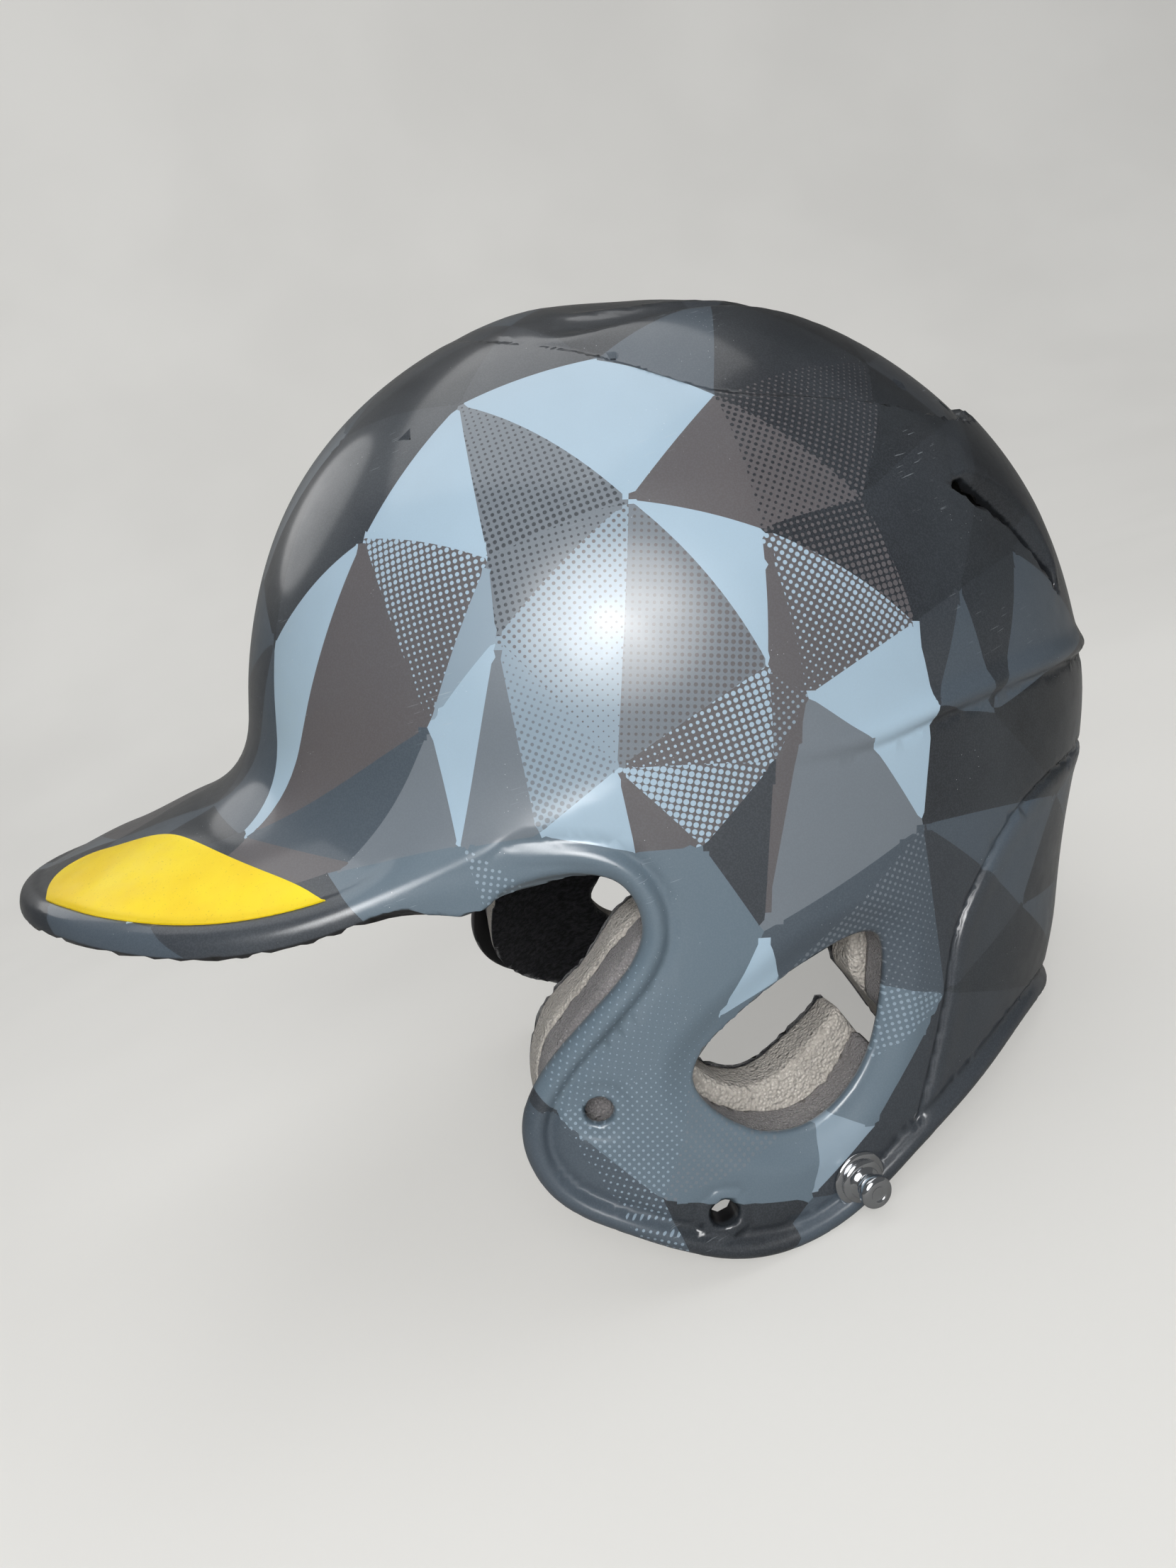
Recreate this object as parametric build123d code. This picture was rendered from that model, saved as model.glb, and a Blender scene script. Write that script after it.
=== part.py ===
from build123d import *
import os
from math import atan2, cos, degrees, radians, sin, sqrt, tan

# A youth batting helmet with two ear flaps: moulded shell, foam liner, fabric covers and strap studs.
# Millimetres. Everything is modelled about the dome's centre, level with its widest line, and then
# leant back so that the helmet stands on its two flaps and its nape. The bill points towards -Y and
# the wearer's left side is +X.

# Shell: half an ellipsoid over a slightly tapering elliptical skirt.
HALF_WIDTH = 93.0
HALF_LENGTH = 114.0
CROWN_RISE = 103.0
WALL = 3.0
SKIRT_DEPTH = 150.0
SKIRT_TAPER = 0.0001
REST_LEAN = 20.0

# Where the dome's centre stands, with the floor at Z = 0 and the outline centred on Y = 0.
DOME_CENTRE_Y = 31.2
DOME_CENTRE_Z = 119.2

# Bill: an arched visor whose top is part of a cylinder that lies level once the helmet stands.
BILL_ARCH_RADIUS = 137.0
BILL_THICKNESS = 4.0
BILL_HALF_WIDTH = 80.0
BILL_ROOT_Y = -85.0
BILL_REACH = 87.0
BILL_ROOT_Z = -12.5

# The forehead edge follows the bill's arch, a little below its underside, in front of BROW_ARCH_START.
BROW_DROP = 2.0
BROW_ARCH_START = -62.0

# Ear opening in each flap, a teardrop in side view, as (y, z) about the dome's centre.
EAR_CENTRE = (12.0, -74.0)
EAR_OUTLINE = [(-12, -81), (-2, -66), (14, -54.5), (31, -50.5), (33, -62), (26, -86), (14, -94.5), (-5, -90)]

# Face guard holes and strap stud in each flap, as (y, z) about the dome's centre.
GUARD_HOLES = [(-33.0, -87.0), (-5.0, -112.0)]
GUARD_HOLE_RADIUS = 3.2
SCREW_POCKET_RADIUS = 5.0
SCREW_POCKET_DEPTH = 9.0
BOSS_RADIUS = 6.0
BOSS_INNER_X = 85.2
STUD_PLACE = (27.5, -107.5)
POST_RADIUS = 2.0
POST_LENGTH = WALL + 3.0
STUD_FLANGE_RADIUS = 5.2
STUD_FLANGE_FOOT = 1.0
STUD_NECK_RADIUS = 2.7
STUD_HEAD_RADIUS = 3.9
STUD_HEAD_FOOT = 5.8
STUD_HEAD_WALL = 1.2
STUD_HEIGHT = 8.0
WASHER_RADIUS = 6.6
NUT_FLANGE_RADIUS = 5.5
NUT_BARREL_RADIUS = 3.2
NUT_GAP = 0.4
NUT_FLANGE_DEPTH = 1.2
NUT_DEPTH = 3.6
THREAD_CLEARANCE = 0.05
HOLE_CLEARANCE = 0.15

# Vents at the back: one slit each side.
VENT_START = (52.0, 47.0)
VENT_END = (84.0, 27.0)
VENT_WIDTH = 4.0

# Liner layers, as depths inward from the shell's outer face.
PAD_OUTER = WALL + 0.4
PAD_INNER = 16.0
CROWN_PAD_INNER = 14.5
EAR_BASE_INNER = 14.0
EAR_FOAM_INNER = 27.5
LAYER_GAP = 0.2
COVER_THICKNESS = 1.4

# Size sticker: how far it floats above the bill, its thickness and its margin from the bill's edge.
STICKER_GAP = 0.15
STICKER_THICKNESS = 0.3
STICKER_MARGIN = 2.5

# Longer than any half-dimension, for cutters.
FAR = 130.0


def side_face(outline):
    """A closed smooth outline given in side view (y, z), as a face on the mid-plane."""
    return make_face(Plane.YZ * Spline(outline, periodic=True))


def dome_form(inset, skirt=SKIRT_DEPTH):
    """The shell's form moved inward by inset, with a skirt of the given depth."""
    unit = 100.0
    rise = CROWN_RISE - inset
    foot = -skirt * unit / rise
    foot_radius = unit * (1 - SKIRT_TAPER * skirt)
    corner = unit * cos(radians(45))
    front = Line((0, foot), (-foot_radius, foot))
    front += Line((-foot_radius, foot), (-unit, 0))
    front += ThreePointArc((-unit, 0), (-corner, corner), (0, unit))
    front += Line((0, unit), (0, foot))
    form = revolve(make_face(Plane.YZ * front), Axis.Z, 360)
    return scale(form, by=((HALF_WIDTH - inset) / unit, (HALF_LENGTH - inset) / unit, rise / unit))


def layer(outer_depth, inner_depth):
    """The space between two depths inside the shell's outer face."""
    return dome_form(outer_depth) - dome_form(inner_depth, skirt=SKIRT_DEPTH + 10)


def through(face, start_x, end_x):
    """A side-view face carried along X from start_x to end_x."""
    return extrude(Pos(start_x, 0, 0) * face, end_x - start_x, dir=(1, 0, 0))


def lower_edge_face():
    """Side view of everything above the brow, flap and nape edges."""
    brow = Spline((-FAR, -45), (-85, -41.5), (-62, -35.5), (-42, -31.2), (-29, -34.5), (-24, -45),
                  (-31, -60), (-44, -77), (-49.5, -93), (-43.5, -107.5), (-27, -116), (1, -123.3),
                  (25, -117), (46, -102), (68, -89), (88, -81.5), (108, -84.6), (FAR, -86.5))
    sides = Polyline((FAR, -86.5), (FAR, FAR), (-FAR, FAR), (-FAR, -45))
    return make_face(Plane.YZ * (brow + sides))


def ear_face(growth):
    """The ear opening's outline, grown or shrunk about its centre."""
    cy, cz = EAR_CENTRE
    return side_face([(cy + (y - cy) * growth, cz + (z - cz) * growth) for y, z in EAR_OUTLINE])


def side_rod(place, radius, start_x, end_x):
    """A round bar along X through a (y, z) place."""
    y, z = place
    bar = Plane(origin=(start_x, y, z), z_dir=(1, 0, 0)) * Circle(radius)
    return extrude(bar, end_x - start_x)


def both_sides(solid):
    """A solid on the left side together with its mirror image on the right."""
    return [solid, mirror(solid, about=Plane.YZ)]


def skin_x(place):
    """How far out the flap's face lies at a (y, z) place below the dome's widest line."""
    y, z = place
    taper = 1 + SKIRT_TAPER * z
    return taper * HALF_WIDTH * sqrt(1 - (y / (taper * HALF_LENGTH)) ** 2)


def stud_plane():
    """A plane on the left flap's outer face at the stud, facing straight out of the wall."""
    y, z = STUD_PLACE
    x = skin_x(STUD_PLACE)
    normal = Vector(x / HALF_WIDTH ** 2, y / HALF_LENGTH ** 2, 0)
    return Plane(origin=(x, y, z), z_dir=normal)


def bill_cylinder(radius):
    """A bar under the bill, with the bill's arch and slope."""
    slope = tan(radians(REST_LEAN))
    length = 2 * FAR
    axis_start = Vector(0, BILL_ROOT_Y - FAR, BILL_ROOT_Z - BILL_ARCH_RADIUS - FAR * slope)
    along = Vector(0, cos(radians(REST_LEAN)), sin(radians(REST_LEAN)))
    return extrude(Plane(origin=axis_start, z_dir=along) * Circle(radius), length)


def bill_plan(margin):
    """The bill seen from above: half an ellipse in front of a straight root."""
    half_width = BILL_HALF_WIDTH - margin
    reach = BILL_REACH - margin
    nose = Pos(0, BILL_ROOT_Y) * Ellipse(half_width, reach)
    root = Pos(0, BILL_ROOT_Y + 20) * Rectangle(2 * half_width, 40)
    return nose + root


def bill():
    """The visor, kept out of the space for the head."""
    arch = bill_cylinder(BILL_ARCH_RADIUS) - bill_cylinder(BILL_ARCH_RADIUS - BILL_THICKNESS)
    plan = extrude(Pos(0, 0, -FAR) * bill_plan(0), 2 * FAR)
    front = Pos(0, BILL_ROOT_Y - 40, 0) * Box(2 * FAR, 150, 2 * FAR)
    return (arch & plan & front) - dome_form(WALL - 0.5)


def brow_cutter():
    """The space under the bill's arch, where the forehead wall stops."""
    under = bill_cylinder(BILL_ARCH_RADIUS - BILL_THICKNESS - BROW_DROP)
    return under & block((-FAR, -FAR - 80, -FAR), (FAR, BROW_ARCH_START, 0))


def vent_cutter():
    """The left rear vent slit."""
    (y1, z1), (y2, z2) = VENT_START, VENT_END
    length = sqrt((y2 - y1) ** 2 + (z2 - z1) ** 2)
    angle = degrees(atan2(z2 - z1, y2 - y1))
    slit = Pos((y1 + y2) / 2, (z1 + z2) / 2) * Rot(0, 0, angle) * SlotOverall(length, VENT_WIDTH)
    return through(Plane.YZ * slit, 40, FAR)


def outer_shell():
    """Dome, flaps and bill in one moulding, with its ear openings, vents and holes."""
    wall = layer(0, WALL) & through(lower_edge_face(), -FAR, FAR)
    boss = side_rod(GUARD_HOLES[1], BOSS_RADIUS, BOSS_INNER_X, skin_x(GUARD_HOLES[1]) - WALL / 2)
    shell = (wall - brow_cutter()) + bill() + both_sides(boss)
    cutters = both_sides(through(ear_face(1.0), 40, FAR)) + both_sides(vent_cutter())
    for place in GUARD_HOLES:
        cutters += both_sides(side_rod(place, GUARD_HOLE_RADIUS, 70, FAR))
    post_hole = extrude(stud_plane() * Circle(POST_RADIUS + HOLE_CLEARANCE), 20, both=True)
    cutters += both_sides(post_hole)
    return shell - cutters


def block(low, high):
    """A box between two opposite corners."""
    size = [b - a for a, b in zip(low, high)]
    middle = [(a + b) / 2 for a, b in zip(low, high)]
    return Pos(*middle) * Box(*size)


def front_region():
    """The forehead pad's part of the liner."""
    return block((-50, -FAR, -24), (50, -58, 34))


def rear_region():
    """The nape pad's part of the liner."""
    return block((-44, 58, -72), (44, FAR, -12))


def cover(region, depth):
    """A thin fabric facing on the head side of a pad."""
    return layer(depth + LAYER_GAP, depth + LAYER_GAP + COVER_THICKNESS) & region


def crown_pad():
    """An oval pad under the crown."""
    oval = extrude(Pos(0, 5, 60) * Ellipse(34, 50), 60)
    return layer(PAD_OUTER, CROWN_PAD_INNER) & oval


def side_pad():
    """The left temple pad."""
    return layer(PAD_OUTER, PAD_INNER) & block((40, -52, -16), (FAR, 6, 44))


def back_pad():
    """The left pad behind and above the ear."""
    return layer(PAD_OUTER, PAD_INNER) & block((46, 34, -26), (FAR, 90, 18))


def ear_pad_region(hole_growth):
    """Side view of the ear pad: it follows the flap, with an ear hole open towards the back."""
    outline = [(-23, -46), (-32, -59), (-42, -73), (-45, -88), (-40, -102), (-25, -110), (0, -115),
               (22, -111), (42, -96), (55, -78), (52, -56), (34, -44), (6, -40), (-14, -41)]
    ear_y, ear_z = EAR_CENTRE
    slot = Pos(ear_y + 32, ear_z - 9.5) * Rot(0, 0, -45) * Rectangle(60, 8.5)
    region = through(side_face(outline), 20, FAR) - through(ear_face(hole_growth), 20, FAR)
    return region - through(Plane.YZ * slot, 20, FAR)


def ear_base_foam():
    """The firm foam against the left flap, cleared for the boss, a screw's end and the stud's nut."""
    foam = layer(PAD_OUTER, EAR_BASE_INNER) & ear_pad_region(1.05)
    boss_pocket = side_rod(GUARD_HOLES[1], BOSS_RADIUS + 1, BOSS_INNER_X - 1.5, FAR)
    screw_end = skin_x(GUARD_HOLES[0]) - SCREW_POCKET_DEPTH
    screw_pocket = side_rod(GUARD_HOLES[0], SCREW_POCKET_RADIUS, screw_end, FAR)
    nut_pocket = extrude(stud_plane().offset(-WALL - 5) * Circle(7), 12)
    return foam - boss_pocket - screw_pocket - nut_pocket


def ear_comfort_foam():
    """The soft foam on the head side of the firm foam."""
    return layer(EAR_BASE_INNER + LAYER_GAP, EAR_FOAM_INNER) & ear_pad_region(0.9)


def ear_cover():
    """The left ear pad's fabric facing."""
    return cover(ear_pad_region(0.86), EAR_FOAM_INNER)


def snap_stud():
    """A chrome strap stud: flange, neck and rounded head on a post through the flap."""
    head_foot = (STUD_HEAD_RADIUS, STUD_HEAD_FOOT)
    head_top = (STUD_HEAD_RADIUS, STUD_HEAD_FOOT + STUD_HEAD_WALL)
    crown_edge = (2.2, STUD_HEIGHT)
    profile = Polyline((0, -POST_LENGTH), (POST_RADIUS, -POST_LENGTH), (POST_RADIUS, STUD_FLANGE_FOOT),
                       (STUD_FLANGE_RADIUS, STUD_FLANGE_FOOT), (STUD_FLANGE_RADIUS, 1.9), (3.6, 2.8),
                       (STUD_NECK_RADIUS, 3.4), (STUD_NECK_RADIUS, 5.0), head_foot, head_top)
    profile += ThreePointArc(head_top, (3.4, 7.6), crown_edge)
    profile += Polyline(crown_edge, (0, STUD_HEIGHT), (0, -POST_LENGTH))
    return stud_plane() * revolve(make_face(Plane.XZ * profile), Axis.Z, 360)


def ring(outer_radius, inner_radius, low, high):
    """A flat ring on the stud's axis, between two heights above the flap's face."""
    face = Circle(outer_radius) - Circle(inner_radius)
    return extrude(stud_plane().offset(low) * face, high - low)


def snap_washer():
    """The dished washer between the stud and the flap."""
    return ring(WASHER_RADIUS, POST_RADIUS + THREAD_CLEARANCE, 0.15, STUD_FLANGE_FOOT)


def snap_back_nut():
    """The flanged nut on the stud's post inside the flap."""
    seat = -WALL - NUT_GAP
    bore = POST_RADIUS + THREAD_CLEARANCE
    flange = ring(NUT_FLANGE_RADIUS, bore, seat - NUT_FLANGE_DEPTH, seat)
    barrel = ring(NUT_BARREL_RADIUS, bore, seat - NUT_DEPTH, seat - NUT_FLANGE_DEPTH)
    return flange + barrel


def size_sticker():
    """A plain size sticker near the front of the bill's left side."""
    lens = [(79, -91), (63, -104.5), (40, -124), (23, -142), (20, -158), (36, -158.5), (55, -148.5),
            (69, -130.5), (76.5, -111)]
    plan = make_face(Spline(lens, periodic=True))
    under = BILL_ARCH_RADIUS + STICKER_GAP
    sheet = bill_cylinder(under + STICKER_THICKNESS) - bill_cylinder(under)
    return sheet & extrude(Pos(0, 0, -FAR) * (plan & bill_plan(STICKER_MARGIN)), 2 * FAR)


def save(node, *shapes):
    """Lean these shapes back onto the floor and write them as one node."""
    stance = Pos(0, DOME_CENTRE_Y, DOME_CENTRE_Z) * Rot(-REST_LEAN, 0, 0)
    solids = [stance * solid for shape in shapes for solid in shape.solids()]
    placed = solids[0] if len(solids) == 1 else Compound(solids)
    placed.label = node
    export_step(placed, f"parts/{node}.step")


def main():
    """Build each node and write its file."""
    os.makedirs("parts", exist_ok=True)
    save("outer_shell", outer_shell())
    save("size_sticker", size_sticker())
    save("front_pad", layer(PAD_OUTER, PAD_INNER) & front_region())
    save("front_pad_cover", cover(front_region(), PAD_INNER))
    save("crown_pad", crown_pad())
    save("rear_pad", layer(PAD_OUTER, PAD_INNER) & rear_region())
    save("rear_pad_cover", cover(rear_region(), PAD_INNER))
    pairs = {"side_pad": side_pad(), "back_pad": back_pad(), "ear_base_foam": ear_base_foam(),
             "ear_comfort_foam": ear_comfort_foam(), "ear_cover": ear_cover()}
    for name, solid in pairs.items():
        left, right = both_sides(solid)
        save("left_" + name, left)
        save("right_" + name, right)
    save("snap_studs", *both_sides(snap_stud()))
    save("snap_washers", *both_sides(snap_washer()))
    save("snap_back_nuts", *both_sides(snap_back_nut()))


main()
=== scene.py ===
import bmesh
import bpy
import numpy as np
from math import cos, hypot, pi, radians, sin, sqrt, tan
from mathutils import Matrix, Vector

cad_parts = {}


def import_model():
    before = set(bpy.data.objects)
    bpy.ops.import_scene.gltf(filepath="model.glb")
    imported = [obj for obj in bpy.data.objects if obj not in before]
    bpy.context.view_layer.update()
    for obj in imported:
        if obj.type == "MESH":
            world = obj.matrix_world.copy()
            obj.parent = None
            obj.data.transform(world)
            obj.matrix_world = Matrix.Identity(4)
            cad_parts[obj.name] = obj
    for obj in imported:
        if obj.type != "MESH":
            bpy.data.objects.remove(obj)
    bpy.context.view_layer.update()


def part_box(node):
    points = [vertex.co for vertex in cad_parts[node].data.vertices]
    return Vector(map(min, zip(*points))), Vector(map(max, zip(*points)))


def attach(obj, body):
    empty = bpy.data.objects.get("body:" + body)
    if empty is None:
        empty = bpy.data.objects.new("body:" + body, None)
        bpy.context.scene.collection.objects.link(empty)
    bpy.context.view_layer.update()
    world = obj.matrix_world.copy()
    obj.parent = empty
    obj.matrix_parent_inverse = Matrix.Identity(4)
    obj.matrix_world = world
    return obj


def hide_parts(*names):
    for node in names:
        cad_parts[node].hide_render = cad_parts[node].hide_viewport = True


# A youth batting helmet with two ear flaps. Shapes are worked out in millimetres about the dome's
# centre, level with its widest line (bill towards -Y, wearer's left +X, up +Z), and then leant back
# onto the floor where the frame's shell stands.

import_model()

# Dome, skirt and bill, the same driving dimensions as the frame's shell.
HALF_WIDTH = 93.0
HALF_LENGTH = 114.0
CROWN_RISE = 103.0
WALL = 3.0
SKIRT_TAPER = 0.0001
REST_LEAN = radians(20)
BILL_ARCH_RADIUS = 137.0
BILL_THICKNESS = 4.0
BILL_HALF_WIDTH = 80.0
BILL_ROOT_Y = -85.0
BILL_REACH = 87.0
BILL_ROOT_Z = -12.5
BROW_DROP = 6.0
BEAD_RADIUS = 2.3
RIM_GROOVE_DEPTH = 0.8

# Outlines in side view, as (y, z).
EDGE_OUTLINE = [(-130, -45), (-85, -41.5), (-62, -35.5), (-42, -31.2), (-29, -34.5), (-24, -45), (-31, -60),
                (-44, -77), (-49.5, -93), (-43.5, -107.5), (-27, -116), (1, -123.3), (25, -117), (46, -102),
                (68, -89), (88, -81.5), (108, -84.6), (130, -86.5)]
EAR_OUTLINE = [(-12, -81), (-2, -66), (14, -54.5), (31, -50.5), (33, -62), (26, -86), (14, -94.5), (-5, -90)]
EAR_PAD_OUTLINE = [(-23, -46), (-32, -59), (-42, -73), (-45, -88), (-40, -102), (-25, -110), (0, -115),
                   (22, -111), (42, -96), (55, -78), (52, -56), (34, -44), (6, -40), (-14, -41)]
SIDE_RIDGE = [(-4, -9), (12, -7.5), (24, -5.6), (41, -0.4), (64, 5.5), (84, 9.5), (104, 11.5), (130, 12)]
REAR_GROOVE = [(42, -108), (43.5, -98), (50, -66), (52.8, -49), (58, -40), (66.7, -29), (81.8, -19),
               (100, -14), (130, -12)]

# Outlines in top view, as (x, y), of the left half; the right half mirrors them.
CROWN_OUTLINE = [(33, -53), (51, -37), (62, -22), (69, -7), (69.5, 12), (62.5, 39), (52.7, 59), (41, 70),
                 (22, 76)]
CREST_OUTLINE = [(27, -50), (47, -39), (50, -22), (45, 0), (40, 18), (35, 38), (28, 57), (16, 68)]

# Fixings, as (y, z) in side view.
GUARD_HOLES = [(-33.0, -87.0), (-5.0, -112.0)]
GUARD_HOLE_RADIUS = 3.2
BOSS_RADIUS = 6.0
BOSS_DEPTH = 8.0
STUD_PLACE = (27.5, -107.5)

# Rear vents: the middle of the left slit, the way along it and half its length.
VENT_MIDDLE = Vector((63.6, 68.6, 36.6))
VENT_ALONG = Vector((-14.2, 35.6, -24.1)).normalized()
VENT_HALF_LENGTH = 23.0
SLIT_REACH = 2.6
SLIT_MIDDLE = 2.2

# Liner layers, as depths inward from the shell's outer face.
PAD_OUTER = 3.6
PAD_INNER = 16.0
CROWN_PAD_INNER = 14.5
EAR_BASE_INNER = 14.0
EAR_FOAM_INNER = 27.5
COVER_THICKNESS = 1.4

# Spacing of the grids for the pads, the shell and the outlines, and the reach that slopes are measured
# over; the wall that decides how the shell's mesh connects; a distance where no field is worked out and
# one where nothing is cut; where the flaps' holes start, from the middle; and the angle of a sharp edge.
GRID_STEP = 2.0
SHELL_STEP = 2.8
MAP_STEP = 1.0
SLOPE_REACH = 0.12
ROUGH_WALL = 4.8
EMPTY = 8.0
NO_CUT = -50
FLAPS_FROM = 30
SHARP_EDGE = radians(38)
MILLIMETRE = 0.001


# ---------------------------------------------------------------- placing

def lean_extent(along_half, up_half, angle):
    """How far an ellipse reaches in the direction at this angle from its first half-axis."""
    return hypot(along_half * cos(angle), up_half * sin(angle))


SHELL_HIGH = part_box("outer_shell")[1]
DOME_CENTRE = Vector((
    0.0,
    SHELL_HIGH[1] / MILLIMETRE - lean_extent(HALF_LENGTH, CROWN_RISE, REST_LEAN),
    SHELL_HIGH[2] / MILLIMETRE - lean_extent(CROWN_RISE, HALF_LENGTH, REST_LEAN)))
TO_WORLD = (Matrix.Scale(MILLIMETRE, 4) @ Matrix.Translation(DOME_CENTRE)
            @ Matrix.Rotation(-REST_LEAN, 4, "X"))


def world(points):
    """Points about the dome's centre, in millimetres, as metres in the frame."""
    turn = np.array(TO_WORLD.to_3x3())
    return np.asarray(points) @ turn.T + np.array(TO_WORLD.translation)


def turned(directions):
    """Directions about the dome's centre as directions in the frame."""
    return np.asarray(directions) @ np.array(Matrix.Rotation(-REST_LEAN, 3, "X")).T


# ---------------------------------------------------------------- curves and distances

def smooth(low, high, value):
    """0 at low, 1 at high and an even S between; low may be the larger of the two."""
    t = np.clip((value - low) / (high - low), 0.0, 1.0)
    return t * t * (3 - 2 * t)


def bump(value, width):
    """A rounded bump of height 1 about zero."""
    return np.exp(-(value / width) ** 2)


def soft_max(a, b, radius):
    """The larger of two distances, with the corner between them rounded."""
    mix = np.maximum(radius - np.abs(a - b), 0.0)
    return np.maximum(a, b) + mix * mix / (4 * radius)


def soft_min(a, b, radius):
    """The smaller of two distances, with the corner between them filled."""
    return -soft_max(-a, -b, radius)


def curve(points, closed, per_span=14):
    """A smooth curve through points, spaced by chord length, as a dense run of points."""
    p = np.array(points, float)
    ends = np.vstack([p, p[:1]]) if closed else p
    gap = np.linalg.norm(np.diff(ends, axis=0), axis=1)
    n = len(p)
    slope = np.zeros((n, n))
    right = np.zeros((n, p.shape[1]))
    for i in range(n):
        if not closed and i in (0, n - 1):
            j = 1 if i == 0 else n - 2
            near = gap[0] if i == 0 else gap[-1]
            slope[i, i], slope[i, j] = 2, 1
            right[i] = 3 * (p[j] - p[i]) / near * (1 if i == 0 else -1)
            continue
        before, after = gap[i - 1], gap[i]
        slope[i, i - 1] += after
        slope[i, i] += 2 * (before + after)
        slope[i, (i + 1) % n] += before
        step_in, step_out = p[i] - p[i - 1], p[(i + 1) % n] - p[i]
        right[i] = 3 * (after / before * step_in + before / after * step_out)
    tangent = np.linalg.solve(slope, right)
    spans = n if closed else n - 1
    out = []
    for i in range(spans):
        j = (i + 1) % n
        t = np.arange(per_span)[:, None] / per_span
        out.append((1 + 2 * t) * (1 - t) ** 2 * p[i] + t * (1 - t) ** 2 * gap[i] * tangent[i]
                   + t * t * (3 - 2 * t) * p[j] + t * t * (t - 1) * gap[i] * tangent[j])
    if not closed:
        out.append(p[-1:])
    return np.vstack(out)


def mirrored(half):
    """A closed outline from its left half."""
    return half + [(-x, y) for x, y in reversed(half)]


class DistanceMap:
    """Signed distance to a line in a plane, kept on a fine grid and read smoothly between its points.

    Inside a closed line it is negative. Left of an open line, looking along it, it is positive.
    """

    def __init__(self, line, low, high, closed=True):
        self.low = np.array(low, float)
        self.size = ((np.array(high) - low) / MAP_STEP).astype(int) + 1
        axes = [self.low[i] + MAP_STEP * np.arange(self.size[i]) for i in (0, 1)]
        a, b = np.meshgrid(*axes, indexing="ij")
        start = line
        end = np.roll(line, -1, axis=0)
        if not closed:
            start, end = line[:-1], line[1:]
        best = np.full(a.shape, 1e9)
        crossings = np.zeros(a.shape, bool)
        left = np.zeros(a.shape)
        for (x0, y0), (x1, y1) in zip(start, end):
            dx, dy = x1 - x0, y1 - y0
            t = np.clip(((a - x0) * dx + (b - y0) * dy) / (dx * dx + dy * dy), 0, 1)
            away = (a - x0 - t * dx) ** 2 + (b - y0 - t * dy) ** 2
            nearer = away < best
            best = np.where(nearer, away, best)
            left = np.where(nearer, dx * (b - y0) - dy * (a - x0), left)
            if (y1 > y0) != (y0 > y1):
                crossings ^= ((y0 > b) != (y1 > b)) & (a < (b - y0) * dx / (dy if dy else 1) + x0)
        sign = np.where(crossings, -1.0, 1.0) if closed else np.where(left > 0, 1.0, -1.0)
        self.values = sign * np.sqrt(best)

    def at(self, a, b):
        """The distance at each place (a, b)."""
        u = np.clip((a - self.low[0]) / MAP_STEP, 1, self.size[0] - 3.001)
        v = np.clip((b - self.low[1]) / MAP_STEP, 1, self.size[1] - 3.001)
        i, j = u.astype(int), v.astype(int)
        along, across = self.weights(u - i), self.weights(v - j)
        total = np.zeros(u.shape)
        for p in range(4):
            row = np.zeros(u.shape)
            for q in range(4):
                row += across[q] * self.values[i + p - 1, j + q - 1]
            total += along[p] * row
        return total

    @staticmethod
    def weights(t):
        """Cubic B-spline weights, which smooth the grid a little as they read it."""
        return ((1 - t) ** 3 / 6, (3 * t ** 3 - 6 * t * t + 4) / 6,
                (-3 * t ** 3 + 3 * t * t + 3 * t + 1) / 6, t ** 3 / 6)


SIDE_LOW, SIDE_HIGH = (-134, -134), (134, 60)
EDGE_LINE = np.vstack([curve(EDGE_OUTLINE, False), [(200, -86), (200, 200), (-200, 200), (-200, -45)]])
EDGE_MAP = DistanceMap(EDGE_LINE, SIDE_LOW, SIDE_HIGH)
EAR_MAP = DistanceMap(curve(EAR_OUTLINE, True), (-50, -125), (70, -20))
EAR_PAD_MAP = DistanceMap(curve(EAR_PAD_OUTLINE, True), (-80, -140), (90, -10))
RIDGE_MAP = DistanceMap(curve(SIDE_RIDGE, False), (-40, -50), SIDE_HIGH, closed=False)
GROOVE_MAP = DistanceMap(curve(REAR_GROOVE, False), (0, -134), (134, 30), closed=False)
CROWN_MAP = DistanceMap(curve(mirrored(CROWN_OUTLINE), True), (-110, -130), (110, 130))
CREST_MAP = DistanceMap(curve(mirrored(CREST_OUTLINE), True), (-110, -130), (110, 130))


# ---------------------------------------------------------------- the shell's form

def dome_out(x, y, z):
    """Distance out from the plain dome and its skirt."""
    taper = 1 + SKIRT_TAPER * np.minimum(z, 0)
    a, b = HALF_WIDTH * taper, HALF_LENGTH * taper
    up = np.maximum(z, 0)
    k0 = np.sqrt((x / a) ** 2 + (y / b) ** 2 + (up / CROWN_RISE) ** 2)
    k1 = np.sqrt((x / a ** 2) ** 2 + (y / b ** 2) ** 2 + (up / CROWN_RISE ** 2) ** 2)
    return np.where(k0 > 0.1, k0 * (k0 - 1) / np.maximum(k1, 1e-6), -HALF_WIDTH)


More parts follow.
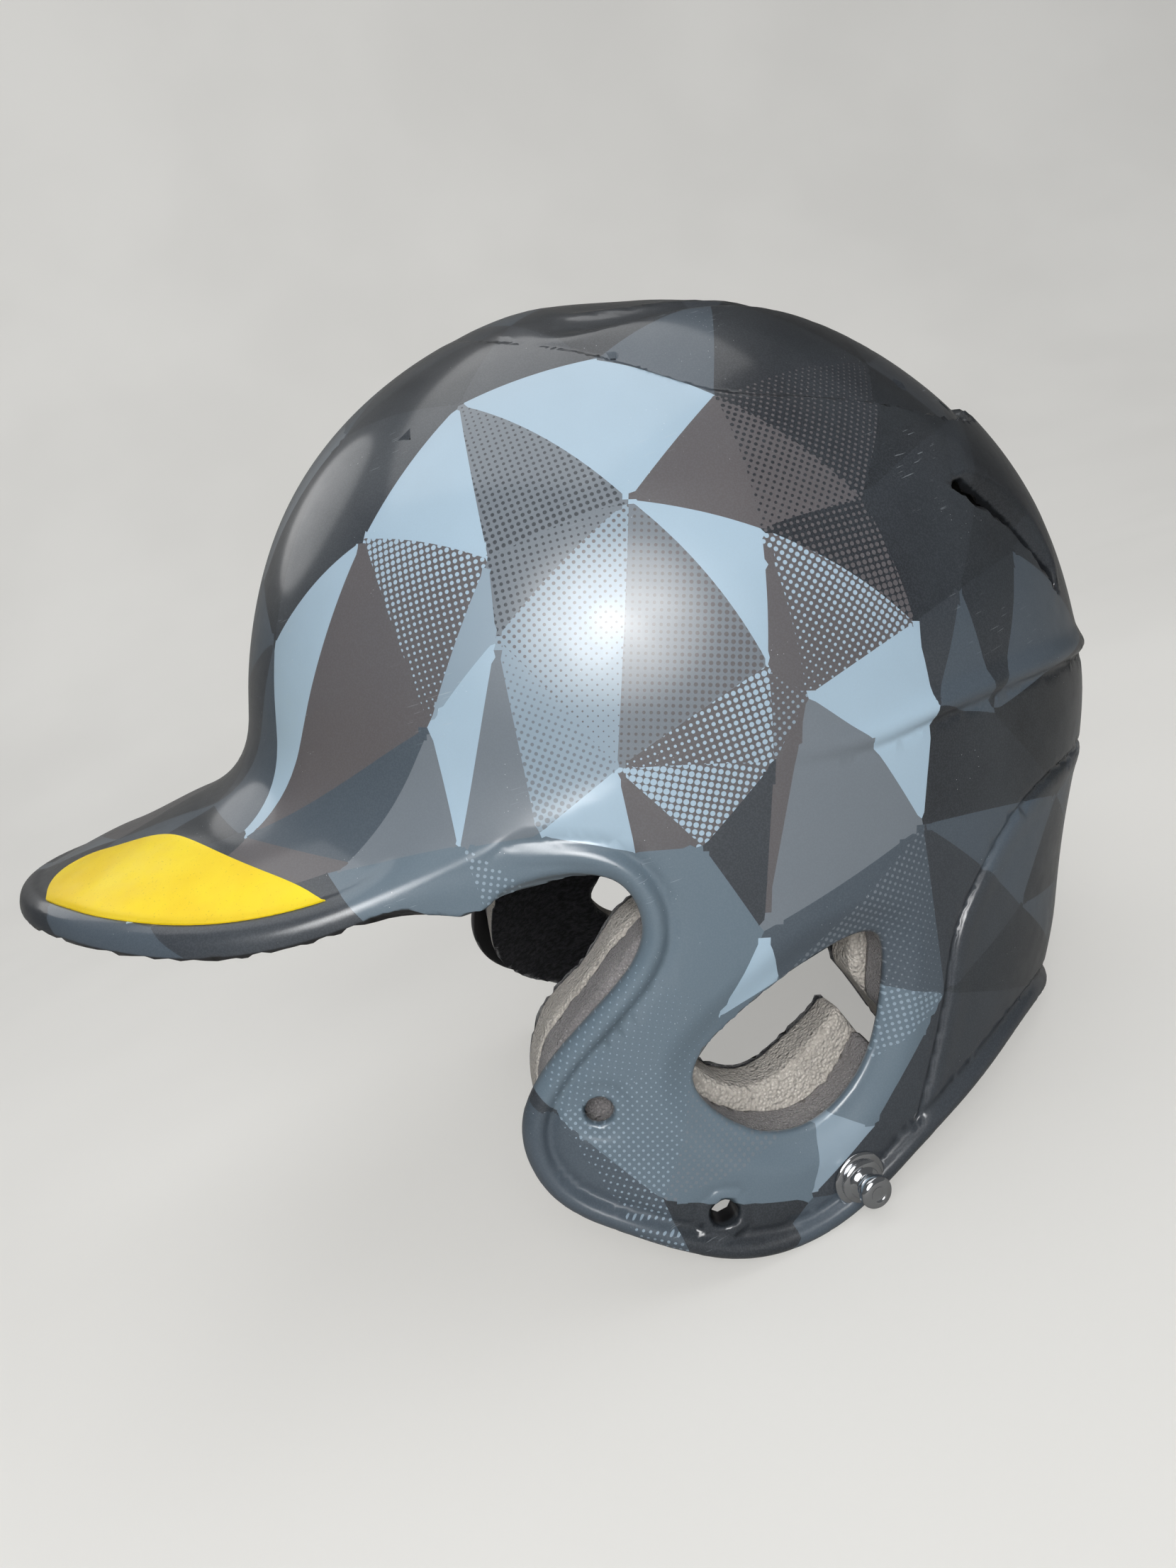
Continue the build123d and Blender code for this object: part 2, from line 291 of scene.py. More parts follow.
def vent_frame(side, y, z):
    """Places near the rear vent: along its slit, across it (up is positive) and how open it is there."""
    normal = Vector((VENT_MIDDLE.x / HALF_WIDTH ** 2, VENT_MIDDLE.y / HALF_LENGTH ** 2,
                     VENT_MIDDLE.z / CROWN_RISE ** 2)).normalized()
    up = normal.cross(VENT_ALONG)
    dx, dy, dz = side - VENT_MIDDLE.x, y - VENT_MIDDLE.y, z - VENT_MIDDLE.z
    along = dx * VENT_ALONG.x + dy * VENT_ALONG.y + dz * VENT_ALONG.z
    across = dx * up.x + dy * up.y + dz * up.z
    out = dx * normal.x + dy * normal.y + dz * normal.z
    opening = np.maximum(1 - (along / (VENT_HALF_LENGTH + 1)) ** 2, 0)
    near = smooth(-40, -20, out)
    return along, across - 2.3 * opening, opening * near


def crown_relief(side, y, z):
    """The crown's sunken panel: a step down at its outline, a crest and a channel with one soft ridge."""
    outline = CROWN_MAP.at(side, y)
    crest = CREST_MAP.at(side, y)
    on_top = smooth(30, 52, z)
    inside = smooth(0.3, 2.1, -outline) * smooth(-62, -47, y)
    step = -(0.9 + 1.6 * smooth(5, 65, y))
    crest_height = 0.7 * smooth(-42, -8, y) - 3.0 * smooth(5, 62, y)
    reach = np.clip(-outline / np.maximum(np.maximum(-outline, 0) + np.maximum(crest, 0), 1e-3), 0, 1)
    band = step + (crest_height - step) * smooth(0, 1, reach)
    channel = smooth(0.5, 7, -crest) * smooth(-46, -12, y) * smooth(76, 50, y)
    ridge = 1.1 * bump(crest + 14, 2.6) * smooth(-42, -20, y) * smooth(66, 40, y)
    return on_top * inside * (band - 3.2 * channel + ridge)


def hood_relief(side, y, z):
    """The hollow wall above each rear vent, under a hood that stands a little proud."""
    _, across, opening = vent_frame(side, y, z)
    wall_height = 11 * np.sqrt(opening) + 0.5
    rise = across / wall_height
    wall = -2.6 + 3.4 * smooth(0.15, 1.0, rise)
    hood = 0.8 * bump(np.maximum(across - wall_height, 0), 14)
    sill = 0.3 * bump(across, 6)
    above = np.where(rise < 1, wall, hood)
    blend = smooth(-0.3, 0.5, across)
    return smooth(0, 0.35, opening) * (sill * (1 - blend) + above * blend)


def soft_relief(side, y, z):
    """Broad departures from the plain dome, which the inner face follows too."""
    forehead = -1.4 * bump(z - 18, 28) * smooth(60, 100, -y)
    back_bulge = 2.6 * bump(z + 8, 24) * smooth(62, 98, y)
    nape = -2.8 * smooth(-58, -92, z) * smooth(50, 95, y)
    ear = EAR_MAP.at(y, z)
    lip = -3.0 * smooth(9.5, 0, ear) * smooth(40, 70, side)
    return forehead + back_bulge + nape + lip + crown_relief(side, y, z)


def line_relief(side, y, z):
    """Narrow lines on the outer face only: the side ridge, the rear groove and dimples at the holes."""
    on_side = smooth(60, 20, z)
    ridge = RIDGE_MAP.at(y, z)
    ridge_on = smooth(-2, 52, y) * on_side
    line = ridge_on * (1.5 * bump(ridge - 1.2, 2.8) - 0.9 * bump(ridge + 2.0, 1.3))
    groove = GROOVE_MAP.at(y, z)
    groove_on = smooth(-112, -96, z) * on_side
    line += groove_on * (-1.1 * bump(groove, 0.9) + 0.6 * bump(groove + 3, 3.0))
    for hole_y, hole_z in GUARD_HOLES:
        line -= 0.5 * smooth(8.0, 5.5, np.hypot(y - hole_y, z - hole_z)) * smooth(40, 70, side)
    return line


def bill_top(x, y):
    """The height of the bill's upper face."""
    arch = BILL_ARCH_RADIUS - np.sqrt(np.maximum(BILL_ARCH_RADIUS ** 2 - x * x, 1.0))
    slope = tan(REST_LEAN) * (y - BILL_ROOT_Y)
    dip = 2.2 * smooth(-126, -148, y) * np.maximum(1 - (x / 66) ** 2, 0)
    droop = 3.0 * smooth(-148, -174, y)
    return BILL_ROOT_Z + slope - arch / cos(REST_LEAN) - dip - droop


def bill_out(x, y):
    """Distance out from the bill's outline, seen from above."""
    ahead = np.minimum(y - BILL_ROOT_Y, 0)
    k0 = np.sqrt((x / BILL_HALF_WIDTH) ** 2 + (ahead / BILL_REACH) ** 2)
    k1 = np.sqrt((x / BILL_HALF_WIDTH ** 2) ** 2 + (ahead / BILL_REACH ** 2) ** 2)
    return k0 * (k0 - 1) / np.maximum(k1, 1e-6)


def bill_above(x, y, z):
    """Distance above the bill's upper face."""
    steepness = np.sqrt(1 + tan(REST_LEAN) ** 2 + (x / BILL_ARCH_RADIUS) ** 2 * 1.4)
    return (z - bill_top(x, y)) / steepness


def bill_field(side, y, z, extra=0.0):
    """The bill with its rolled rim."""
    above = bill_above(side, y, z)
    outline = bill_out(side, y)
    half = BILL_THICKNESS / 2
    plate = soft_max(np.abs(above + half) - half - extra / 2, outline, 1.2)
    bead = np.hypot(outline + BEAD_RADIUS, above + half) - BEAD_RADIUS - 0.25 - extra / 2
    field = soft_min(plate, bead, 1.0)
    return soft_max(field, y + 40, 3)


def lower_edge(side, y, z):
    """Distance past the lower edge: brow, flaps and nape."""
    arched = (bill_top(side, y) - BROW_DROP - z) * cos(REST_LEAN)
    front = smooth(-52, -62, y)
    return EDGE_MAP.at(y, z) * (1 - front) + arched * front


def shell_field(x, y, z, wall=WALL):
    """Signed distance to the whole shell's surface, negative in the plastic."""
    side = np.abs(x)
    plain = dome_out(side, y, z)
    hood = hood_relief(side, y, z)
    soft = soft_relief(side, y, z) + hood
    edge = lower_edge(side, y, z)
    rim_groove = RIM_GROOVE_DEPTH * bump(edge + 2 * BEAD_RADIUS + 1.4, 1.3) * smooth(-60, -50, y)
    outer = plain - soft - line_relief(side, y, z) + rim_groove
    inner = plain - soft + wall
    dome = soft_max(outer, edge, 1.5)
    field = soft_min(dome, bill_field(side, y, z, wall - WALL), 15)
    field = soft_max(field, -inner, 0.8)
    bead = np.hypot(edge + BEAD_RADIUS, plain - soft + WALL / 2 - 0.9) - BEAD_RADIUS
    field = soft_min(field, bead, 1.1)
    ear = EAR_MAP.at(y, z)
    field = soft_max(field, np.where(side > FLAPS_FROM, -ear, NO_CUT), 1.6)
    along, across, opening = vent_frame(side, y, z)
    slit_out = np.abs(across - SLIT_MIDDLE) - SLIT_REACH * smooth(0, 0.4, opening)
    slit = np.maximum(slit_out, np.abs(along) - VENT_HALF_LENGTH + 1)
    field = soft_max(field, np.where(opening > 0, -slit, NO_CUT), 0.6)
    boss_y, boss_z = GUARD_HOLES[1]
    boss_out = np.hypot(y - boss_y, z - boss_z) - BOSS_RADIUS
    boss = soft_max(boss_out, np.abs(plain + BOSS_DEPTH / 2) - BOSS_DEPTH / 2, 0.6)
    field = soft_min(field, np.where(side > FLAPS_FROM, boss, EMPTY), 1.0)
    for hole_y, hole_z in GUARD_HOLES:
        hole = np.hypot(y - hole_y, z - hole_z) - GUARD_HOLE_RADIUS
        field = soft_max(field, np.where(side > FLAPS_FROM, -hole, NO_CUT), 0.8)
    return field


def shell_near(x, y, z):
    """Where the shell's field is worth working out."""
    plain = dome_out(x, y, z)
    near_bill = (y < -50) & (np.abs(bill_above(x, y, z)) < 12) & (np.abs(x) < 92)
    return (np.abs(plain + 1.5) < 9) | near_bill


# ---------------------------------------------------------------- meshes from fields

def surface_net(values, low, step):
    """Vertices and quads where a sampled field crosses zero."""
    inside = values < 0
    cells = np.array(values.shape)
    total = np.zeros((values.size, 3))
    count = np.zeros(values.size)
    quads = []
    for axis in range(3):
        first = [slice(None)] * 3
        second = [slice(None)] * 3
        first[axis], second[axis] = slice(None, -1), slice(1, None)
        crossing = inside[tuple(first)] != inside[tuple(second)]
        at = np.argwhere(crossing)
        v0, v1 = values[tuple(first)][crossing], values[tuple(second)][crossing]
        point = at.astype(float)
        point[:, axis] += v0 / (v0 - v1)
        u, v = (axis + 1) % 3, (axis + 2) % 3
        ring = []
        for du, dv in ((0, 0), (-1, 0), (-1, -1), (0, -1)):
            cell = at.copy()
            cell[:, u] += du
            cell[:, v] += dv
            flat = np.ravel_multi_index(cell.T, cells)
            for k in range(3):
                total[:, k] += np.bincount(flat, point[:, k], values.size)
            count += np.bincount(flat, minlength=values.size)
            ring.append(flat)
        ring = np.array(ring).T
        outward = v0 < 0
        ring[~outward] = ring[~outward][:, ::-1]
        quads.append(ring)
    used = np.flatnonzero(count)
    index = np.full(values.size, -1)
    index[used] = np.arange(len(used))
    points = total[used] / count[used][:, None] * step + np.array(low)
    return points, index[np.vstack(quads)]


def gradient(field, p):
    """The field's slope at each point."""
    out = np.empty_like(p)
    for axis in range(3):
        shift = np.zeros(3)
        shift[axis] = SLOPE_REACH
        out[:, axis] = (field(*(p + shift).T) - field(*(p - shift).T)) / (2 * SLOPE_REACH)
    return out


def settle(field, p, cap, rounds=3):
    """Move points onto the field's surface, by no more than the cap in a round."""
    for _ in range(rounds):
        slope = gradient(field, p)
        size = np.maximum((slope ** 2).sum(axis=1), 0.05)
        move = -(field(*p.T) / size)[:, None] * slope
        length = np.linalg.norm(move, axis=1)
        p = p + move * np.minimum(1, cap / np.maximum(length, 1e-9))[:, None]
    return p


def even_out(field, points, ends, rounds, share):
    """Slide points a share of the way to the middle of their neighbours and back onto the surface."""
    count = len(points)
    degree = np.bincount(ends.ravel(), minlength=count)[:, None]
    for _ in range(rounds):
        total = np.empty_like(points)
        for axis in range(3):
            there = np.bincount(ends[:, 0], points[ends[:, 1], axis], count)
            total[:, axis] = there + np.bincount(ends[:, 1], points[ends[:, 0], axis], count)
        points = settle(field, points + share * (total / degree - points), rounds=1, cap=0.8)
    return points


def field_points(field, low, high, step, near=None, rough_field=None):
    """A settled mesh, as points and quads, of a field's surface inside a box.

    A rough field, with thicker walls than the grid's step, decides how the mesh connects.
    """
    axes = [np.arange(a, b + step, step) for a, b in zip(low, high)]
    x, y, z = np.meshgrid(*axes, indexing="ij")
    values = np.full(x.shape, EMPTY)
    wanted = near(x, y, z) if near else np.ones(x.shape, bool)
    values[wanted] = (rough_field or field)(x[wanted], y[wanted], z[wanted])
    points, quads = surface_net(values, low, step)
    return settle(field, points, cap=step * 0.6), quads


def new_object(name, points, faces, slot):
    """A mesh object from points and lists of their numbers, in the material of a slot."""
    mesh = bpy.data.meshes.new(name)
    mesh.from_pydata(np.asarray(points).tolist(), [], faces)
    mesh.materials.append(MATERIALS[slot])
    piece = bpy.data.objects.new(name, mesh)
    bpy.context.collection.objects.link(piece)
    return piece


def shade(piece, normals):
    """Smooth shading with exact normals."""
    mesh = piece.data
    mesh.polygons.foreach_set("use_smooth", [True] * len(mesh.polygons))
    mesh.normals_split_custom_set_from_vertices(normals.tolist())
    mesh.update()


def face_outward(piece, merge):
    """Join points closer than this, turn the faces outward and shade smoothly up to sharp edges."""
    mesh = piece.data
    bm = bmesh.new()
    bm.from_mesh(mesh)
    if merge:
        bmesh.ops.remove_doubles(bm, verts=bm.verts, dist=merge)
    bmesh.ops.recalc_face_normals(bm, faces=bm.faces)
    bm.to_mesh(mesh)
    bm.free()
    mesh.polygons.foreach_set("use_smooth", [True] * len(mesh.polygons))
    mesh.set_sharp_from_angle(angle=SHARP_EDGE)


def ring_quads(first, second, count):
    """Quads between two rings of points, from the number of each ring's first point."""
    return [[first + k, first + (k + 1) % count, second + (k + 1) % count, second + k] for k in range(count)]


def unit_slope(field, points):
    """The direction straight out of the field's surface at each point."""
    slope = gradient(field, points)
    return slope / np.linalg.norm(slope, axis=1)[:, None]


def field_piece(name, field, low, high, slot):
    """One piece whose whole surface comes from a field."""
    points, quads = field_points(field, low, high, GRID_STEP)
    piece = new_object(name, world(points), quads.tolist(), slot)
    shade(piece, turned(unit_slope(field, points)))
    return piece


def claim(piece, node):
    """Ride on the body and stand for a CAD node, which is hidden."""
    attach(piece, "root")
    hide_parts(node)


# ---------------------------------------------------------------- material tools

def linear(red, green, blue):
    """A colour as seen, 0 to 255, in the numbers that shaders use."""
    def one(value):
        value /= 255
        return value / 12.92 if value <= 0.04045 else ((value + 0.055) / 1.055) ** 2.4
    return one(red), one(green), one(blue), 1.0


class Nodes:
    """A material's node tree with short ways to add to it."""

    def __init__(self, name):
        self.material = bpy.data.materials.new(name)
        self.material.use_nodes = True
        self.tree = self.material.node_tree
        self.shader = self.tree.nodes["Principled BSDF"]

    def link(self, source, target):
        """Wire an output to an input, or set the input to a plain value."""
        if isinstance(source, bpy.types.NodeSocket):
            self.tree.links.new(source, target)
        elif hasattr(target, "default_value"):
            target.default_value = source

    def add(self, kind, settings=None, **inputs):
        """A node with its settings and inputs; input names use _ for a space."""
        node = self.tree.nodes.new("ShaderNode" + kind)
        for key, value in (settings or {}).items():
            setattr(node, key, value)
        for key, value in inputs.items():
            self.link(value, node.inputs[key.replace("_", " ")])
        return node

    def math(self, operation, a, b=0.0):
        """A sum or the like of one or two values."""
        node = self.add("Math", {"operation": operation})
        self.link(a, node.inputs[0])
        self.link(b, node.inputs[1])
        return node.outputs[0]

    def times(self, a, b):
        """The product of two values."""
        return self.math("MULTIPLY", a, b)

    def vector(self, operation, a, b=None):
        """A sum or the like of two vectors."""
        node = self.add("VectorMath", {"operation": operation})
        self.link(a, node.inputs[0])
        if b is not None:
            self.link(b, node.inputs[1])
        return node.outputs["Value" if operation == "LENGTH" else "Vector"]

    def ramp(self, value, low, high, start=0.0, end=1.0):
        """A value carried smoothly from start to end between low and high."""
        node = self.add("MapRange", {"interpolation_type": "SMOOTHSTEP"}, Value=value)
        for key, number in (("From Min", low), ("From Max", high), ("To Min", start), ("To Max", end)):
            self.link(number, node.inputs[key])
        return node.outputs[0]

    def mix(self, factor, first, second):
        """A blend of two colours."""
        node = self.add("Mix", {"data_type": "RGBA"})
        self.link(factor, node.inputs["Factor"])
        self.link(first, node.inputs["A"])
        self.link(second, node.inputs["B"])
        return node.outputs["Result"]

    def place(self, stretch=(1, 1, 1)):
        """The piece's own coordinates, stretched."""
        where = self.add("TexCoord").outputs["Object"]
        node = self.add("Mapping", Vector=where)
        node.inputs["Scale"].default_value = stretch
        return node.outputs[0]

    def noise(self, scale, detail=2.0, stretch=(1, 1, 1), roughness=0.5):
        """A noise value from 0 to 1."""
        node = self.add("TexNoise", Vector=self.place(stretch))
        for key, number in (("Scale", scale), ("Detail", detail), ("Roughness", roughness)):
            node.inputs[key].default_value = number
        return node.outputs[0]

    def cells(self, scale):
        """A scatter of round cells, with the distance from their middles and a colour for each."""
        node = self.add("TexVoronoi", Vector=self.place())
        node.inputs["Scale"].default_value = scale
        return node

    def attribute(self, name, output="Color"):
        """A value kept on the mesh."""
        return self.add("Attribute", {"attribute_name": name}).outputs[output]

    def bump(self, height, strength, distance):
        """Small relief in the surface."""
        node = self.add("Bump", Height=height)
        node.inputs["Strength"].default_value = strength
        node.inputs["Distance"].default_value = distance
        return node.outputs[0]

    def finish(self, colour, roughness, normal=None, **fixed):
        """Wire the shader and return the material."""
        self.link(colour, self.shader.inputs["Base Color"])
        self.link(roughness, self.shader.inputs["Roughness"])
        if normal is not None:
            self.link(normal, self.shader.inputs["Normal"])
        for key, value in fixed.items():
            self.shader.inputs[key.replace("_", " ")].default_value = value
        return self.material


def printed_shell_material():
    """Clear coat over a printed mosaic with halftone dots; bare black plastic on the inner face and in the
    vent slits, where the black is also painted shade.
    """
    n = Nodes("printed_shell")
    dots = n.attribute("dots", "Vector")
    split = n.add("SeparateXYZ", Vector=dots)
    cell = n.add("CombineXYZ", X=n.math("FRACT", split.outputs[0]), Y=n.math("FRACT", split.outputs[1]))
    away = n.vector("LENGTH", n.vector("SUBTRACT", cell.outputs[0], (0.5, 0.5, 0.0)))
    edge = n.math("SUBTRACT", away, split.outputs[2])
    dot = n.ramp(edge, -0.05, 0.05, 1.0, 0.0)
    print_colour = n.mix(dot, n.attribute("paint"), n.attribute("dot_paint"))
    cloud = n.noise(28, 3)
    print_colour = n.mix(n.ramp(cloud, 0.3, 0.7, 0.0, 0.10), print_colour, linear(92, 102, 110))
    grain = n.noise(2600, 1)
    print_colour = n.mix(n.ramp(grain, 0.42, 0.62, 0.0, 0.05), print_colour, linear(150, 160, 168))
    fleck_cell = n.cells(760)
    fleck = n.ramp(fleck_cell.outputs["Distance"], 0.05, 0.075, 1.0, 0.0)
    rare = n.ramp(n.noise(60, 1), 0.60, 0.66)
    fleck = n.times(fleck, rare)
    print_colour = n.mix(n.times(fleck, 0.75), print_colour, linear(226, 230, 232))
    scratch_noise = n.noise(2500, 1, (0.06, 0.06, 1))
    scratch = n.times(n.ramp(scratch_noise, 0.69, 0.74), n.ramp(n.noise(30, 1), 0.60, 0.68))
    print_colour = n.mix(n.times(scratch, 0.25), print_colour, linear(190, 198, 204))
    inside = n.ramp(n.attribute("inside", "Fac"), -0.25, 0.25)
    colour = n.mix(inside, print_colour, linear(24, 24, 26))
    rough = n.ramp(n.noise(90, 3), 0.3, 0.7, 0.30, 0.42)
    rough = n.math("ADD", rough, n.times(scratch, 0.25))
    relief = n.math("ADD", n.noise(95, 2), n.times(scratch, -0.25))
    normal = n.bump(relief, 0.05, 0.0006)
    return n.finish(colour, rough, normal, Coat_Weight=1.0, Coat_Roughness=0.13, Coat_IOR=1.45)


def foam_material(name, light, dark, cell_size, glint_strength):
    """Open-cell foam: a scatter of tiny cells with flattened skin, each catching or losing the light by
    painted shade towards its edge and painted glints in some middles.
    """
    n = Nodes(name)
    small = n.cells(1 / cell_size)
    large = n.cells(0.42 / cell_size)
    glint = n.add("SeparateColor", Color=small.outputs["Color"]).outputs[0]
    patch = n.noise(40, 3)
    base = n.mix(n.ramp(patch, 0.3, 0.7), dark, light)
    # Painted shade: each cell darkens towards its edge, up to three quarters of the way to the dark tone.
    base = n.mix(n.ramp(small.outputs["Distance"], 0.15, 0.6, 0.0, 0.75), base, dark)
    # Painted glint: a pale spot in the middle of some cells, scaled by the material's last argument.
    painted_glint = n.times(n.ramp(glint, 0.62, 0.95), n.ramp(small.outputs["Distance"], 0.35, 0.1))
    colour = n.mix(n.times(painted_glint, glint_strength), base, linear(226, 222, 214))
    pits = n.ramp(large.outputs["Distance"], 0.1, 0.5, 1.0, 0.0)
    height = n.math("ADD", small.outputs["Distance"], n.times(pits, -0.6))
    normal = n.bump(height, 0.9, cell_size * 0.8)
    return n.finish(colour, 0.85, normal, Specular_IOR_Level=0.3, Sheen_Weight=0.2, Sheen_Roughness=0.6)


def felt_material():
    """Black brushed felt: short fibres in a soft nap."""
    n = Nodes("black_felt")
    fibre = n.noise(1500, 3, (1, 0.25, 0.6), 0.7)
    tuft = n.noise(190, 4, roughness=0.7)
    colour = n.mix(n.ramp(fibre, 0.35, 0.7), linear(16, 16, 18), linear(46, 46, 50))
    colour = n.mix(n.ramp(tuft, 0.55, 0.8, 0.0, 0.5), colour, linear(58, 58, 62))
    height = n.math("ADD", fibre, n.times(tuft, 0.8))
    normal = n.bump(height, 0.8, 0.0005)
    return n.finish(colour, 0.95, normal, Specular_IOR_Level=0.2, Sheen_Weight=0.35, Sheen_Roughness=0.5)


def vinyl_material():
    """Yellow satin vinyl with faint ripples and dust."""
    n = Nodes("yellow_vinyl")
    colour = n.mix(n.ramp(n.noise(50, 3), 0.3, 0.7), linear(250, 222, 12), linear(240, 204, 0))
    colour = n.mix(n.ramp(n.noise(1900, 1), 0.66, 0.74, 0.0, 0.3), colour, linear(168, 146, 20))
    rough = n.ramp(n.noise(160, 2), 0.3, 0.7, 0.36, 0.5)
    normal = n.bump(n.noise(70, 2), 0.12, 0.0005)
    return n.finish(colour, rough, normal, Coat_Weight=0.15, Coat_Roughness=0.3)


def plated_material(name, colour, low, high, streak):
    """Plated metal: turning marks, smears and small pits."""
    n = Nodes(name)
    smear = n.noise(240, 3)
    marks = n.noise(1400, 2, (0.15, 1, 1))
    wear = n.math("ADD", n.times(smear, 0.6), n.times(marks, 0.4))
    rough = n.ramp(wear, 0.3, 0.7, low, high)
    tint = n.mix(n.ramp(smear, 0.4, 0.75, 0.0, streak), colour, linear(120, 116, 110))
    normal = n.bump(marks, 0.08, 0.0001)
    return n.finish(tint, rough, normal, Metallic=1.0)


MATERIALS = {
    "printed_shell": printed_shell_material(),
    # For the foams, the last number is the strength of their painted glints.
    "grey_foam": foam_material("grey_foam", linear(232, 226, 217), linear(176, 170, 162), 0.0008, 1.0),
    "dark_foam": foam_material("dark_foam", linear(160, 157, 156), linear(120, 117, 118), 0.0006, 0.4),
    "black_felt": felt_material(),
    "yellow_vinyl": vinyl_material(),
    "chrome": plated_material("chrome", linear(224, 226, 229), 0.05, 0.16, 0.25),
    "zinc_steel": plated_material("zinc_steel", linear(176, 178, 182), 0.28, 0.45, 0.4),
}


# ---------------------------------------------------------------- the printed mosaic

# The mosaic's corners on the left half and the middle, as (x, y, z). The planes of its edges pass
# near this eye point inside the head space, so straight edges wrap the dome as gentle curves.
MOSAIC_EYE = np.array((0.0, -40.0, -60.0))
MOSAIC_BEND = 22.0
LONG_EDGE = 45.0
MOSAIC_CORNERS = [
    (56, -81, 38), (52, -59, 67), (81, -26, 45), (86, 1, 39), (75, -68, -2), (41, -102, -33),
    (36, -104, 15), (70, -5, 68), (87, 36, 20), (93, 10, 5), (90, -30, -10), (93, 2, -46),
    (87, 40, -25), (87, 41, 1), (92, -12, -27), (85, -46, -25), (78, -62, -29), (57, -30, 76),
    (81, 25, 46), (76, -55, 33), (92, 1, 11), (93, 3, -9), (91, 25, -5), (90, -26, -28), (81, -54, 17),
    (92, 8, -58), (92, -7, -66), (81, 49, 27), (68, 68, 35), (61, 86, -25), (80, 59, -1), (84, 50, -66),
    (70, 75, -50), (88, 30, -95), (84, -42, -88), (91, -19, -108), (91, 20, -92), (40, 102, -10),
    (30, 108, -50), (45, 98, 14), (25, 100, -80), (50, 60, 66), (49, 39, 80), (41, 1, 92),
    (31, -45, 88), (26, -85, 62), (18, -108, 30), (10, -112, 0), (24, 88, 60), (22, 103, 32),
    (67, -130, -46), (40, -150, -47), (79, -95, -30), (24, -118, -28), (14, -145, -38), (0, -60, 87),
    (0, -20, 101), (0, 22, 100), (0, 62, 84), (0, 96, 52), (0, 112, 10), (0, 110, -30), (0, 108, -70),
    (0, -168, -50), (0, -122, -24), (91, 15, -110), (88, -5, -140)]
RIGHT_SHIFT = np.array((0.0, 5.0, -6.0))

# Pairs of facets whose shared edge joins the other two corners instead.
MOSAIC_SWAPS = [(4, 6), (6, 52), (0, 52), (17, 19), (4, 15), (21, 22), (8, 20), (18, 20), (9, 18),
                (11, 23), (23, 34), (15, 34)]

PAINTS = {
    "light": linear(164, 187, 204), "pale": linear(140, 158, 172), "mid": linear(112, 120, 128),
    "steel": linear(98, 114, 126), "warm": linear(92, 88, 90), "slate": linear(72, 82, 92),
    "dark": linear(52, 56, 62), "charcoal": linear(38, 41, 46), "ink": linear(27, 29, 33)}

